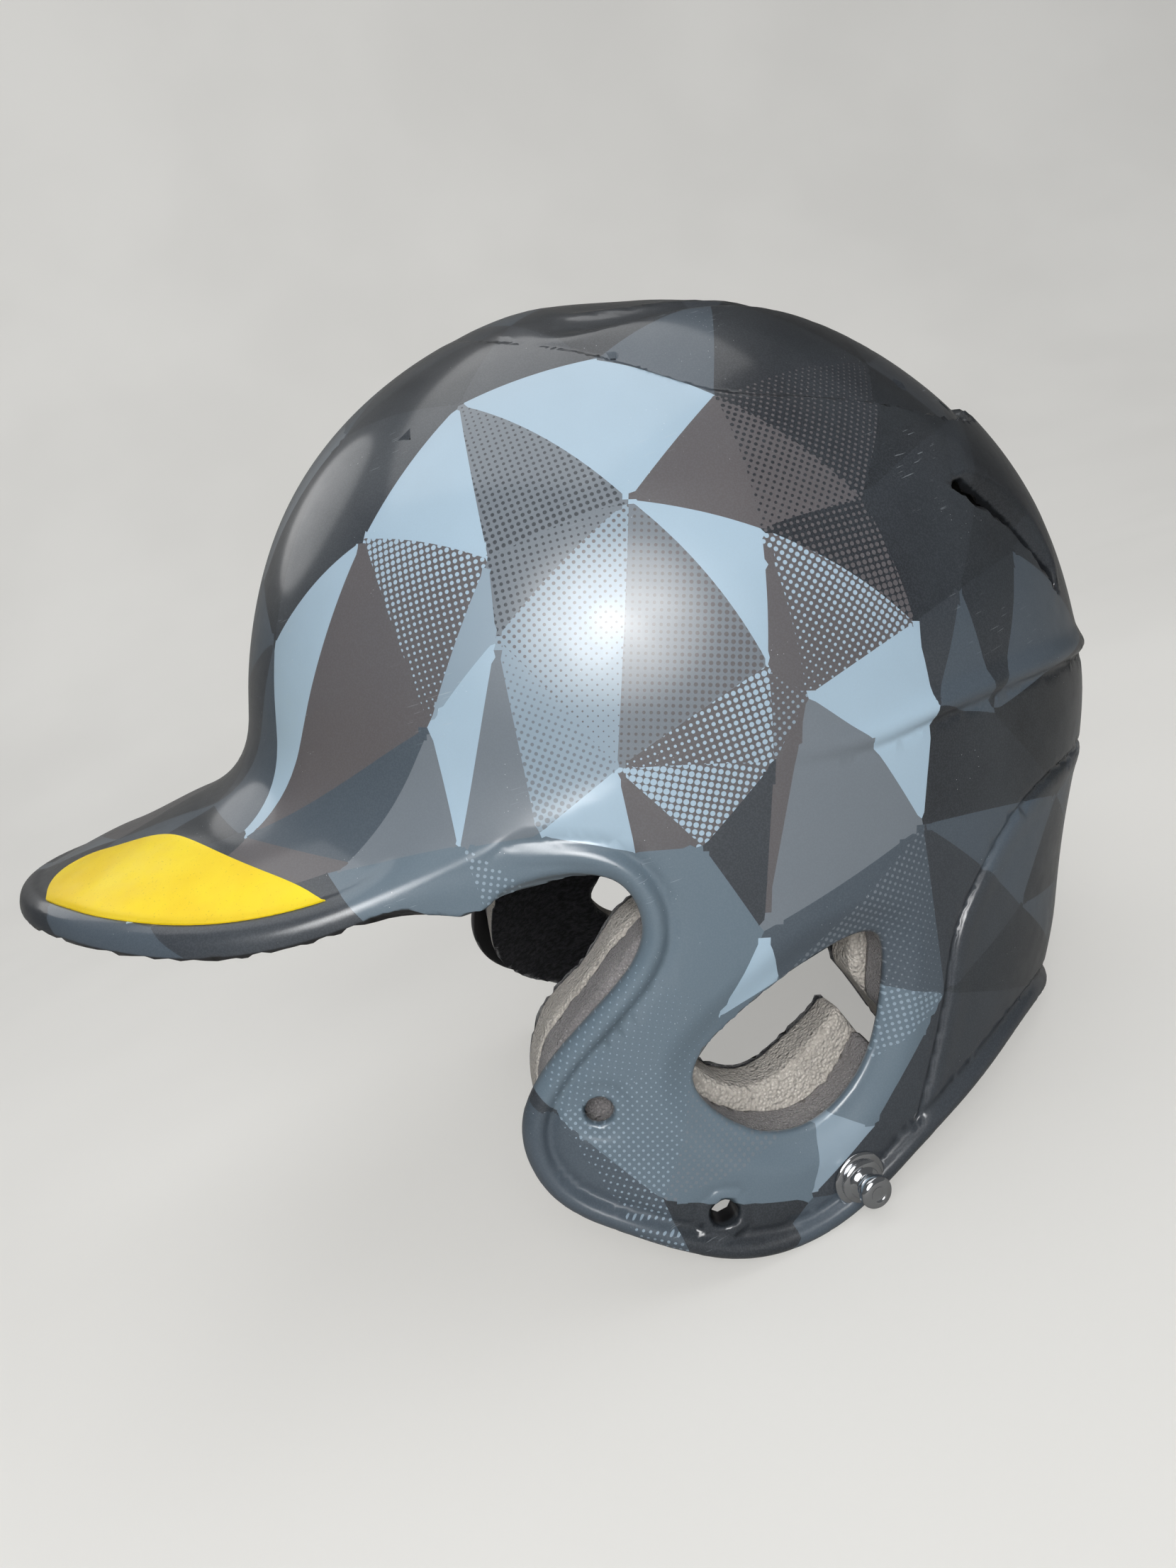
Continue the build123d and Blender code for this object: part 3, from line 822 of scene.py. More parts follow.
# The left side's facets, by how they look and then by their three corners. A look is a paint, or two
# paints with the radius of the halftone's dots at the facet's two ends, in widths of their cell.
FACET_GROUPS = {
    ("light",): [(0, 1, 19), (0, 5, 6), (1, 2, 17), (2, 7, 17), (2, 3, 20), (4, 16, 24), (10, 15, 23),
        (8, 9, 22), (8, 13, 22), (12, 13, 22), (11, 25, 26)],
    ("warm",): [(0, 4, 5), (2, 3, 7), (10, 14, 23), (3, 9, 20), (9, 11, 21), (5, 50, 52)],
    ("warm", "light", 0.12, 0.46): [(0, 4, 19)], ("mid", "dark", 0.18, 0.34): [(1, 2, 19)],
    ("mid", "warm", 0.18, 0.34): [(2, 10, 20)], ("pale", "warm", 0.1, 0.3): [(2, 10, 24)],
    ("mid", "dark", 0.3, 0.16): [(2, 19, 24)], ("pale",): [(4, 19, 24), (33, 36, 65)],
    ("mid",): [(15, 16, 24), (9, 11, 22), (11, 12, 22), (4, 16, 52)],
    ("pale", "mid", 0.1, 0.4): [(10, 15, 24)], ("warm", "light", 0.14, 0.46): [(10, 20, 21)],
    ("warm", "light", 0.3, 0.5): [(10, 14, 21)], ("warm", "pale", 0.1, 0.3): [(9, 20, 21)],
    ("dark",): [(11, 14, 21), (33, 40, 65), (0, 1, 45), (0, 6, 45), (1, 17, 44), (8, 13, 27),
        (12, 31, 32), (29, 37, 39), (31, 33, 40), (6, 47, 53), (5, 50, 51), (34, 50, 52), (44, 45, 55),
        (43, 56, 57), (41, 42, 58), (39, 48, 49), (37, 38, 61), (49, 59, 60)],
    ("warm", "light", 0.14, 0.42): [(3, 8, 9)], ("charcoal", "warm", 0.2, 0.45): [(3, 8, 18)],
    ("warm", "charcoal", 0.34, 0.2): [(3, 7, 18)],
    ("slate",): [(11, 12, 25), (34, 51, 66), (4, 5, 52), (7, 17, 43), (13, 27, 30), (28, 30, 39),
        (12, 29, 32), (29, 37, 38), (32, 38, 40), (40, 65, 66), (6, 46, 47), (5, 6, 53), (51, 53, 54),
        (34, 50, 51), (44, 55, 56), (48, 58, 59), (37, 49, 60)],
    ("slate", "mid", 0.05, 0.36): [(12, 25, 31)],
    ("steel",): [(11, 14, 26), (14, 23, 26), (15, 23, 26), (15, 16, 26), (16, 34, 52), (25, 26, 36),
        (31, 33, 36), (35, 36, 65)],
    ("steel", "pale", 0.02, 0.28): [(16, 26, 34)],
    ("charcoal",): [(51, 63, 66), (53, 54, 64), (1, 44, 45), (17, 43, 44), (7, 42, 43), (18, 27, 41),
        (8, 18, 27), (12, 13, 30), (27, 28, 30), (12, 29, 30), (29, 32, 38), (31, 32, 40), (35, 65, 66),
        (6, 45, 46), (47, 53, 64), (5, 51, 53), (51, 54, 63), (43, 44, 56), (42, 57, 58), (41, 48, 58),
        (28, 39, 48), (37, 39, 49), (37, 60, 61), (38, 40, 62)],
    ("charcoal", "warm", 0.12, 0.3): [(7, 18, 42)],
    ("ink",): [(18, 41, 42), (27, 28, 41), (29, 30, 39), (42, 43, 57), (28, 41, 48), (48, 49, 59),
        (38, 61, 62)],
    ("steel", "pale", 0.12, 0.3): [(25, 31, 36)], ("steel", "pale", 0.05, 0.28): [(26, 34, 35)],
    ("steel", "mid", 0.1, 0.34): [(26, 35, 36)], ("slate", "pale", 0.1, 0.3): [(34, 35, 66)]}
FACETS = {facet: look for look, group in FACET_GROUPS.items() for facet in group}
OTHER_SIDE = {"steel": "slate", "light": "mid", "pale": "slate", "mid": "light", "warm": "slate",
              "slate": "warm", "dark": "mid", "charcoal": "dark", "ink": "charcoal"}
REST_PAINTS = ["slate", "charcoal", "dark", "warm", "mid", "ink"]
DOT_PITCH = 1.5
DOT_TURN = 0.7
PLAIN_DOTS = (-1.0, -1.0)
CUT_MARGIN = 0.03


def hull_facets(ways):
    """The triangles of the smallest convex shape around these directions."""
    hull = bmesh.new()
    verts = [hull.verts.new(w) for w in ways]
    bmesh.ops.convex_hull(hull, input=verts)
    hull.verts.index_update()
    facets = [tuple(sorted(v.index for v in f.verts)) for f in hull.faces]
    hull.free()
    return sorted(facets)


def mosaic_planes():
    """The corners, the facets as triples of corners, and each facet's planes, positive inside.

    A facet has one bent plane for each edge and one that keeps it on its own side of the eye.
    """
    left = np.array(MOSAIC_CORNERS, float)
    off_middle = np.flatnonzero(left[:, 0] > 0)
    corners = np.vstack([left, left[off_middle] * (-1, 1, 1) + RIGHT_SHIFT])
    ways = corners - MOSAIC_EYE
    facets = hull_facets(ways / np.linalg.norm(ways, axis=1)[:, None])
    twin = {int(index): len(left) + k for k, index in enumerate(off_middle)}
    swaps = MOSAIC_SWAPS + [(twin.get(a, a), twin.get(b, b)) for a, b in MOSAIC_SWAPS]
    for a, b in swaps:
        pair = [f for f in facets if a in f and b in f]
        if len(pair) == 2:
            c, d = (next(i for i in f if i not in (a, b)) for f in pair)
            facets = [f for f in facets if f not in pair]
            facets += [tuple(sorted((a, c, d))), tuple(sorted((b, c, d)))]
    planes = []
    for facet in facets:
        heading = corners[list(facet)].mean(axis=0) - MOSAIC_EYE
        heading /= np.linalg.norm(heading)
        rows = [(heading, heading @ MOSAIC_EYE)]
        for k in range(3):
            i, j = sorted((facet[k], facet[(k + 1) % 3]))
            other = facet[(k + 2) % 3]
            across = np.cross(corners[i] - MOSAIC_EYE, corners[j] - MOSAIC_EYE)
            length = np.linalg.norm(corners[j] - corners[i])
            bend = MOSAIC_BEND * min(length / LONG_EDGE, 1) * sin(1.7 * i + 2.3 * j)
            third = MOSAIC_EYE + across / np.linalg.norm(across) * bend
            normal = np.cross(corners[i] - third, corners[j] - third)
            normal *= np.sign(normal @ across) / np.linalg.norm(normal)
            if across @ (corners[other] - MOSAIC_EYE) < 0:
                normal = -normal
            rows.append((normal, normal @ corners[i]))
        planes.append(rows)
    return corners, facets, planes, twin


def facet_at(points, planes):
    """Which facet holds each point."""
    best = np.full(len(points), -1e9)
    which = np.zeros(len(points), int)
    for index, rows in enumerate(planes):
        inside = np.min([points @ normal - offset for normal, offset in rows], axis=0)
        nearer = inside > best
        best[nearer] = inside[nearer]
        which[nearer] = index
    return which


def cut_mosaic(bm, planes):
    """Cut the printed faces where the mosaic passes from one facet to the next."""
    bm.verts.index_update()
    points = np.array([v.co for v in bm.verts])
    printed = depth_inside(*points.T) < 1.5
    which = facet_at(points, planes)
    edges = [e for e in bm.edges if printed[e.verts[0].index] and printed[e.verts[1].index]
             and which[e.verts[0].index] != which[e.verts[1].index]]
    ends = np.array([[v.index for v in e.verts] for e in edges])
    first, run, home = points[ends[:, 0]], points[ends[:, 1]] - points[ends[:, 0]], which[ends[:, 0]]
    low, high = np.zeros(len(edges)), np.ones(len(edges))
    for _ in range(8):
        middle = (low + high) / 2
        same = facet_at(first + run * middle[:, None], planes) == home
        low, high = np.where(same, middle, low), np.where(same, high, middle)
    crossings = []
    for edge, share in zip(edges, np.clip(low, CUT_MARGIN, 1 - CUT_MARGIN)):
        crossings.append(bmesh.utils.edge_split(edge, edge.verts[0], float(share))[1])
    new_verts = set(crossings)
    for face in dict.fromkeys(f for v in crossings for f in v.link_faces):
        on_cut = [v for v in face.verts if v in new_verts]
        if len(on_cut) == 2:
            bmesh.utils.face_split(face, on_cut[0], on_cut[1])
        elif len(on_cut) > 2:
            middle = face.calc_center_median()
            before = set(face.verts)
            _, loop = bmesh.utils.face_split(face, on_cut[0], on_cut[1], coords=[middle])
            hub = next(v for v in loop.edge.verts if v not in before)
            for vert in on_cut[2:]:
                shared = next((f for f in hub.link_faces if vert in f.verts), None)
                if shared:
                    bmesh.utils.face_split(shared, hub, vert)


def facet_looks(facets, twin):
    """Paint, halftone paint and halftone sizes for each facet; the right side's tones are shuffled."""
    looks = {}
    mirrored_facets = {tuple(sorted(twin.get(i, i) for i in facet)): look for facet, look in FACETS.items()}
    for index, facet in enumerate(facets):
        spare = REST_PAINTS[(3 * facet[0] + 5 * facet[1] + 7 * facet[2]) % len(REST_PAINTS)]
        look = FACETS.get(facet)
        if look is None and facet in mirrored_facets:
            look = mirrored_facets[facet]
            look = tuple(OTHER_SIDE[name] for name in look[:2]) + look[2:]
        look = look or (spare,)
        paint, halftone = look[0], look[1] if len(look) > 1 else look[0]
        looks[index] = (PAINTS[paint], PAINTS[halftone], look[2:] or PLAIN_DOTS)
    return looks


def paint_mosaic(mesh, points, corners, facets, planes, twin):
    """Keep each facet's paints and halftone coordinates on the mesh's face corners."""
    count = len(mesh.polygons)
    centres = np.empty(count * 3)
    mesh.polygons.foreach_get("center", centres)
    centres = centres.reshape(-1, 3)
    totals = np.empty(count, int)
    mesh.polygons.foreach_get("loop_total", totals)
    corner_points = np.empty(len(mesh.loops), int)
    mesh.loops.foreach_get("vertex_index", corner_points)
    which = np.repeat(facet_at(centres, planes), totals)
    paint = np.ones((len(corner_points), 4))
    dot_paint = np.ones((len(corner_points), 4))
    dots = np.zeros((len(corner_points), 3))
    looks = facet_looks(facets, twin)
    for index, facet in enumerate(facets):
        here = which == index
        if not here.any():
            continue
        corner = corners[list(facet)]
        centre = corner.mean(axis=0)
        colour, halftone, (first, last) = looks[index]
        paint[here], dot_paint[here] = colour, halftone
        u = corner[1] - corner[0]
        u /= np.linalg.norm(u)
        normal = np.cross(u, corner[2] - corner[0])
        normal /= np.linalg.norm(normal)
        v = np.cross(normal, u)
        turn = DOT_TURN * index
        across, along = cos(turn) * u + sin(turn) * v, cos(turn) * v - sin(turn) * u
        local = points[corner_points[here]] - centre
        span = max(np.ptp((corner - centre) @ along), 1.0)
        share = np.clip((local @ along) / span + 0.5, 0, 1)
        dots[here, 0] = local @ across / DOT_PITCH
        dots[here, 1] = local @ along / DOT_PITCH
        dots[here, 2] = first + (last - first) * share
    for name, kind, values in (("paint", "FLOAT_COLOR", paint), ("dot_paint", "FLOAT_COLOR", dot_paint),
                               ("dots", "FLOAT_VECTOR", dots)):
        attribute = mesh.attributes.new(name, kind, "CORNER")
        attribute.data.foreach_set("color" if kind == "FLOAT_COLOR" else "vector", values.ravel())


# ---------------------------------------------------------------- the shell

def depth_inside(x, y, z):
    """How far past the print's edge a place is: positive on the inner face, the bill's underside and in the
    vent slits, whose black walls are bare plastic and painted shade.
    """
    side = np.abs(x)
    outer = dome_out(side, y, z) - soft_relief(side, y, z) - hood_relief(side, y, z)
    in_dome = -outer - 2.5
    under_bill = -bill_above(side, y, z) - BILL_THICKNESS + 1.2
    ahead = smooth(1.0, 4.0, outer) * smooth(-60, -75, y)
    _, across, opening = vent_frame(side, y, z)
    slit_depth = SLIT_REACH * smooth(0, 0.4, opening) - np.abs(across - SLIT_MIDDLE)
    # The vent slits' walls are painted black: bare plastic, and painted shade for the dark opening.
    slit_black_and_shade = np.where(opening > 0.02, slit_depth, -5)
    return np.maximum(in_dome * (1 - ahead) + under_bill * ahead, slit_black_and_shade)


def detail_near(x, y, z):
    """Where the shell's mesh needs to be finer."""
    side = np.abs(x)
    edge = np.abs(lower_edge(side, y, z) + 1) < 7.5
    ear = (np.abs(EAR_MAP.at(y, z) - 0.5) < 5) & (side > 60)
    _, across, opening = vent_frame(side, y, z)
    vent = (opening > 0) & (across > -4) & (across < 14)
    top = (z > 45) & ((np.abs(CROWN_MAP.at(side, y) + 1) < 3.5) | (np.abs(CREST_MAP.at(side, y) + 2) < 4))
    lines = (z < 40) & (np.abs(RIDGE_MAP.at(y, z)) < 4.5) & (y > 5)
    lines |= (z < 20) & (np.abs(GROOVE_MAP.at(y, z)) < 3.5)
    holes = np.zeros(x.shape, bool)
    for hole_y, hole_z in GUARD_HOLES:
        holes |= (np.hypot(y - hole_y, z - hole_z) < 9) & (side > 60)
    bill_rim = (np.abs(bill_out(side, y)) < 7) & (y < -55) & (np.abs(bill_above(side, y, z)) < 9)
    return edge | ear | vent | top | lines | holes | bill_rim


def mesh_points(mesh):
    """A mesh's points as rows."""
    points = np.empty(len(mesh.vertices) * 3)
    mesh.vertices.foreach_get("co", points)
    return points.reshape(-1, 3)


def rough_shell_field(x, y, z):
    """The shell's field with a thicker wall, so that no part of the wall falls between grid points."""
    return shell_field(x, y, z, ROUGH_WALL)


def build_shell():
    """Dome, flaps and bill in one moulding."""
    points, quads = field_points(shell_field, (-100, -180, -130), (100, 124, 112), SHELL_STEP, shell_near,
                                 rough_shell_field)
    ends = np.vstack([quads[:, [0, 1]], quads[:, [1, 2]], quads[:, [2, 3]], quads[:, [3, 0]]])
    points = even_out(shell_field, points, ends, 4, 0.8)
    points = settle(shell_field, points, rounds=1, cap=1.0)
    piece = new_object("helmet_shell", points, quads.tolist(), "printed_shell")
    mesh = piece.data
    bm = bmesh.new()
    bm.from_mesh(mesh)
    x, y, z = points.T
    fine = detail_near(x, y, z) & (depth_inside(x, y, z) < 1.0)
    edges = [e for e in bm.edges if fine[e.verts[0].index] and fine[e.verts[1].index]]
    bmesh.ops.subdivide_edges(bm, edges=edges, cuts=1, use_grid_fill=True)
    bm.verts.index_update()
    ends = np.array([[v.index for v in e.verts] for e in bm.edges])
    settled = even_out(shell_field, np.array([v.co for v in bm.verts]), ends, 3, 0.6)
    settled = settle(shell_field, settled, rounds=1, cap=0.5)
    for vert, place in zip(bm.verts, settled):
        vert.co = place
    corners, facets, planes, twin = mosaic_planes()
    cut_mosaic(bm, planes)
    bm.to_mesh(mesh)
    bm.free()
    points = settle(shell_field, mesh_points(mesh), rounds=2, cap=0.3)
    mesh.vertices.foreach_set("co", points.ravel())
    mesh.update()
    paint_mosaic(mesh, points, corners, facets, planes, twin)
    inside = mesh.attributes.new("inside", "FLOAT", "POINT")
    inside.data.foreach_set("value", depth_inside(*points.T))
    mesh.vertices.foreach_set("co", world(points).ravel())
    shade(piece, turned(unit_slope(shell_field, points)))
    claim(piece, "outer_shell")


# ---------------------------------------------------------------- the liner

EAR_SLOT_PLACE = (33.7, -74.2)
EAR_SLOT_TURN = radians(-51)
EAR_SLOT_HALF_WIDTH = 3.7
SCREW_POCKET_RADIUS = 5.0
SCREW_POCKET_DEPTH = 9.0
BOSS_POCKET_DEPTH = 10.0
NUT_POCKET_RADIUS = 7.0
NUT_POCKET_DEPTH = 9.0
PAD_ROUNDING = 4.0
FACING_WRAP = 5


def liner_depth(x, y, z):
    """How far in from the shell's outer face a place is."""
    side = np.abs(x)
    return soft_relief(side, y, z) + hood_relief(side, y, z) - dome_out(side, y, z)


def uneven(x, y, z, size, amount):
    """Slow hand-cut unevenness."""
    return amount * np.sin(x / size + 1.3) * np.sin(y / size + 0.4) * np.sin(z / size + 2.1)


def block_out(place, low, high, radius):
    """Distance out of a box with rounded edges."""
    out = None
    for value, a, b in zip(place, low, high):
        gap = np.abs(value - (a + b) / 2) - (b - a) / 2
        out = gap if out is None else soft_max(out, gap, radius)
    return out


def pad_field(region, inner=PAD_INNER, pillow=4.0):
    """A pad against the shell: full in the middle and lower towards its edges."""
    def field(x, y, z):
        depth = liner_depth(x, y, z)
        around = region(x, y, z)
        edge_drop = pillow * np.exp(np.minimum(around, 0) / 9)
        thick = inner + 0.6 - edge_drop + uneven(x, y, z, 11, 0.35)
        return soft_max(soft_max(PAD_OUTER - depth, depth - thick, 1.5), around, PAD_ROUNDING)
    return field


def facing_field(pad):
    """Fabric over a pad's head side, turned down a little way over its edges."""
    def field(x, y, z):
        depth = liner_depth(x, y, z)
        hem = PAD_INNER - FACING_WRAP - depth + uneven(x, y, z, 5, 0.4)
        return soft_max(pad(x, y, z) - COVER_THICKNESS, hem, 0.8)
    return field


def front_region(x, y, z):
    """The forehead pad, with a shallow notch in its upper edge."""
    notch = 9 - np.hypot(x, z - 38)
    return soft_max(block_out((x, y, z), (-50, -150, -23), (50, -58, 34), 12), notch, 6)


def rear_region(x, y, z):
    """The nape pad."""
    return block_out((x, y, z), (-44, 58, -72), (44, 150, -12), 12)


def crown_region(x, y, z):
    """The oval pad under the crown, with a hole in its middle."""
    oval = (np.hypot(x / 34, (y - 5) / 50) - 1) * 34
    hole = 9 - np.hypot(x, y - 5)
    return soft_max(soft_max(oval, 60 - z, 4), hole, 4)


def side_region(x, y, z):
    """The temple pads."""
    return block_out((np.abs(x), y, z), (40, -52, -16), (120, 6, 44), 14)


def back_region(x, y, z):
    """The pads behind and above the ears."""
    return block_out((np.abs(x), y, z), (46, 34, -26), (120, 90, 18), 14)


def slot_out(y, z):
    """Distance out of the gap that opens an ear pad's hole towards the back."""
    along_y, along_z = cos(EAR_SLOT_TURN), sin(EAR_SLOT_TURN)
    dy, dz = y - EAR_SLOT_PLACE[0], z - EAR_SLOT_PLACE[1]
    across = np.abs(dz * along_y - dy * along_z) - EAR_SLOT_HALF_WIDTH
    return np.maximum(across, -12 - (dy * along_y + dz * along_z))


def ear_region(hole_shift, lobe, margin):
    """An ear pad in side view: it follows the flap and its hole is open towards the back."""
    def region(x, y, z):
        shape = EAR_PAD_MAP.at(y, z) + margin
        lobe_height = lobe * np.exp(-((y - 21) ** 2 + (z + 88) ** 2) / 15 ** 2)
        hole = -(EAR_MAP.at(y, z) - hole_shift + lobe_height)
        shape = soft_max(shape, hole, 2.0)
        return soft_max(shape, -slot_out(y, z), 2.0)
    return region


def ear_layer_field(region, outer, inner, radius, pockets):
    """One layer of an ear pad."""
    def field(x, y, z):
        depth = liner_depth(x, y, z) + uneven(x, y, z, 9, 0.4)
        layer = soft_max(outer - depth, depth - inner, radius)
        layer = soft_max(layer, region(x, y, z) + uneven(x, y, z, 6, 0.5), radius)
        for (pocket_y, pocket_z), pocket_radius, pocket_depth in pockets:
            round_out = np.hypot(y - pocket_y, z - pocket_z) - pocket_radius
            layer = soft_max(layer, -np.maximum(round_out, depth - pocket_depth), 0.8)
        return soft_max(layer, 40 - np.abs(x), 1.0)
    return field


def build_pads():
    """The foam liner and its fabric facings."""
    front = pad_field(front_region)
    rear = pad_field(rear_region)
    crown = pad_field(crown_region, CROWN_PAD_INNER, 3.0)
    front_box = ((-56, -116, -30), (56, -50, 42))
    rear_box = ((-50, 50, -78), (50, 120, -6))
    crown_box = ((-40, -52, 54), (40, 62, 106))
    middle_pads = [("front_foam", front, front_box, "grey_foam", "front_pad"),
                   ("front_facing", facing_field(front), front_box, "black_felt", "front_pad_cover"),
                   ("crown_foam", crown, crown_box, "grey_foam", "crown_pad"),
                   ("rear_foam", rear, rear_box, "grey_foam", "rear_pad"),
                   ("rear_facing", facing_field(rear), rear_box, "black_felt", "rear_pad_cover")]
    for name, field, box, slot, node in middle_pads:
        claim(field_piece(name, field, *box, slot), node)
    side = pad_field(side_region)
    back = pad_field(back_region)
    pockets = [(GUARD_HOLES[0], SCREW_POCKET_RADIUS, SCREW_POCKET_DEPTH),
               (GUARD_HOLES[1], BOSS_RADIUS + 1, BOSS_POCKET_DEPTH),
               (STUD_PLACE, NUT_POCKET_RADIUS, NUT_POCKET_DEPTH)]
    base = ear_layer_field(ear_region(1.2, 0.0, 0.4), PAD_OUTER, EAR_BASE_INNER, 0.8, pockets)
    comfort = ear_layer_field(ear_region(-2.4, 7.0, 0.0), EAR_BASE_INNER - 0.3, EAR_FOAM_INNER, 2.6, [])
    facing = ear_layer_field(ear_region(-2.6, 6.6, 0.2), EAR_FOAM_INNER - 1.6,
                             EAR_FOAM_INNER + COVER_THICKNESS, 0.7, [])
    pairs = [("side_foam", side, (34, -58, -22), (98, 12, 50), "grey_foam", "side_pad"),
             ("back_foam", back, (34, 28, -32), (98, 96, 24), "grey_foam", "back_pad"),
             ("ear_firm_foam", base, (48, -50, -120), (98, 62, -34), "dark_foam", "ear_base_foam"),
             ("ear_soft_foam", comfort, (40, -50, -120), (90, 62, -34), "grey_foam", "ear_comfort_foam"),
             ("ear_facing", facing, (36, -50, -120), (80, 62, -34), "black_felt", "ear_cover")]
    for name, field, low, high, slot, node in pairs:
        for hand, sign in (("left", 1), ("right", -1)):
            near, far = (low, high) if sign > 0 else ((-high[0], *low[1:]), (-low[0], *high[1:]))
            piece = field_piece(f"{hand}_{name}", field, near, far, slot)
            claim(piece, f"{hand}_{node}")


# ---------------------------------------------------------------- fixings

# Half profiles of the turned parts, as (radius, height out from the flap).
STUD_PROFILE = [(0, -6.0), (2.0, -6.0), (2.0, 1.0), (5.0, 1.0), (5.2, 1.15), (5.2, 1.7), (5.0, 1.95),
                (4.3, 2.2), (3.9, 2.3), (3.6, 2.8), (3.0, 3.1), (2.72, 3.5), (2.7, 4.6), (2.9, 5.0),
                (3.5, 5.35), (3.82, 5.6), (3.92, 5.9), (3.92, 6.7), (3.8, 7.1), (3.5, 7.5), (3.0, 7.8),
                (2.4, 7.98), (2.05, 7.95), (1.8, 7.75), (1.5, 7.55), (0.8, 7.5), (0, 7.5)]
WASHER_PROFILE = [(2.06, 0.15), (5.9, 0.15), (6.45, 0.2), (6.6, 0.4), (6.5, 0.62), (6.1, 0.85), (5.6, 0.98),
                  (5.2, 1.0), (2.06, 1.0)]
NUT_PROFILE = [(2.06, -7.0), (2.9, -7.0), (3.2, -6.8), (3.2, -4.7), (3.4, -4.6), (5.3, -4.6), (5.5, -4.4),
               (5.5, -3.6), (5.3, -3.4), (2.06, -3.4)]
LATHE_STEPS = 64
LATHE_MERGE = 0.02 * MILLIMETRE


def stud_axis(sign):
    """The strap stud's foot on the flap, its direction out, and two directions across it."""
    y, z = STUD_PLACE
    taper = 1 + SKIRT_TAPER * z
    x = taper * HALF_WIDTH * sqrt(1 - (y / (taper * HALF_LENGTH)) ** 2)
    out = Vector((x / HALF_WIDTH ** 2, y / HALF_LENGTH ** 2, 0)).normalized()
    out.x *= sign
    across = out.cross(Vector((0, 0, 1)))
    return Vector((x * sign, y, z)), out, across, Vector((0, 0, 1))


def lathe(name, profile, closed, node, slot):
    """A turned pair, one for each flap."""
    points, faces = [], []
    rows = len(profile)
    for sign in (1, -1):
        foot, out, across, up = stud_axis(sign)
        first = len(points)
        for radius, height in profile:
            for k in range(LATHE_STEPS):
                turn = 2 * pi * k / LATHE_STEPS
                spoke = (across * cos(turn) + up * sin(turn)) * max(radius, 0.01)
                points.append(foot + out * height + spoke)
        for row in range(rows if closed else rows - 1):
            after = (row + 1) % rows
            ring = ring_quads(first + row * LATHE_STEPS, first + after * LATHE_STEPS, LATHE_STEPS)
            faces += ring if sign > 0 else [quad[::-1] for quad in ring]
    piece = new_object(name, world(points), faces, slot)
    face_outward(piece, LATHE_MERGE)
    claim(piece, node)


def build_fixings():
    """Strap studs with their washers and the nuts inside the flaps."""
    lathe("strap_studs", STUD_PROFILE, False, "snap_studs", "chrome")
    lathe("stud_washers", WASHER_PROFILE, True, "snap_washers", "chrome")
    lathe("stud_nuts", NUT_PROFILE, True, "snap_back_nuts", "zinc_steel")


# ---------------------------------------------------------------- the size sticker

STICKER_OUTLINE = [(79, -91), (63, -104.5), (40, -124), (23, -142), (20, -158), (36, -158.5), (55, -148.5),
                   (69, -130.5), (76.5, -111)]
STICKER_MARGIN = 3.0
STICKER_HEIGHT = 0.4
STICKER_RINGS = 16
STICKER_LIFT = 0.05
STICKER_RIPPLE = 0.06


def build_sticker():
    """A plain vinyl sticker that follows the bill, with its edge just lifting."""
    rim = curve(STICKER_OUTLINE, True, 10)
    for _ in range(6):
        beyond = np.maximum(bill_out(rim[:, 0], rim[:, 1]) + STICKER_MARGIN, 0)
        inward = -rim + (0, BILL_ROOT_Y)
        rim = rim + inward / np.linalg.norm(inward, axis=1)[:, None] * beyond[:, None]
    middle = rim.mean(axis=0)
    rings = [middle + (rim - middle) * (1 - ring / STICKER_RINGS) for ring in range(STICKER_RINGS)]
    plan = np.vstack(rings + [middle[None]])
    start = np.column_stack([plan, bill_top(plan[:, 0], plan[:, 1])])
    seat = settle(shell_field, start, rounds=6, cap=2.0)
    out = unit_slope(shell_field, seat)
    count = len(rim)
    lift = np.full(len(seat), STICKER_HEIGHT)
    lift[:count] += STICKER_RIPPLE * np.sin(np.arange(count) * 0.37) + STICKER_LIFT
    top = seat + out * lift[:, None]
    bottom = seat[:count] + out[:count] * 0.05
    faces = []
    for ring in range(STICKER_RINGS - 1):
        faces += ring_quads(ring * count, (ring + 1) * count, count)
    last = (STICKER_RINGS - 1) * count
    tip = last + count
    under = tip + 1
    for k in range(count):
        step = (k + 1) % count
        faces.append([last + k, last + step, tip])
        faces.append([step, k, under + k, under + step])
    piece = new_object("plain_size_sticker", world(np.vstack([top, bottom])), faces, "yellow_vinyl")
    face_outward(piece, 0)
    claim(piece, "size_sticker")


# ---------------------------------------------------------------- stage, light and camera

# In metres, in the frame.
CAMERA_PLACE = Vector((0.3267, -0.0300, 0.1734))
CAMERA_RIGHT = Vector((0.1663, 0.9266, -0.3373))
CAMERA_UP = Vector((-0.1741, 0.3642, 0.9149))
CAMERA_LENS = 27.03
SENSOR = 36.0
STAGE_GLOW = 0.80
ROOM_STRENGTH = 0.26
ROOM_GLOSS_CUT = 0.14
ROOM_SEEN = 0.38
STAGE_BEND_STEPS = 24
LIGHT_AIM = (0.0, 0.0, 0.1)
KEY_PLACE = (0.95, -0.12, 0.52)
KEY_RADIUS = 0.44
KEY_POWER = 15.0
TOP_PLACE = (-0.1, 0.1, 1.6)
TOP_SIZE = 1.6
TOP_POWER = 8
FILL_PLACE = (-0.8, -0.7, 1.0)
FILL_RADIUS = 0.35
FILL_POWER = 5


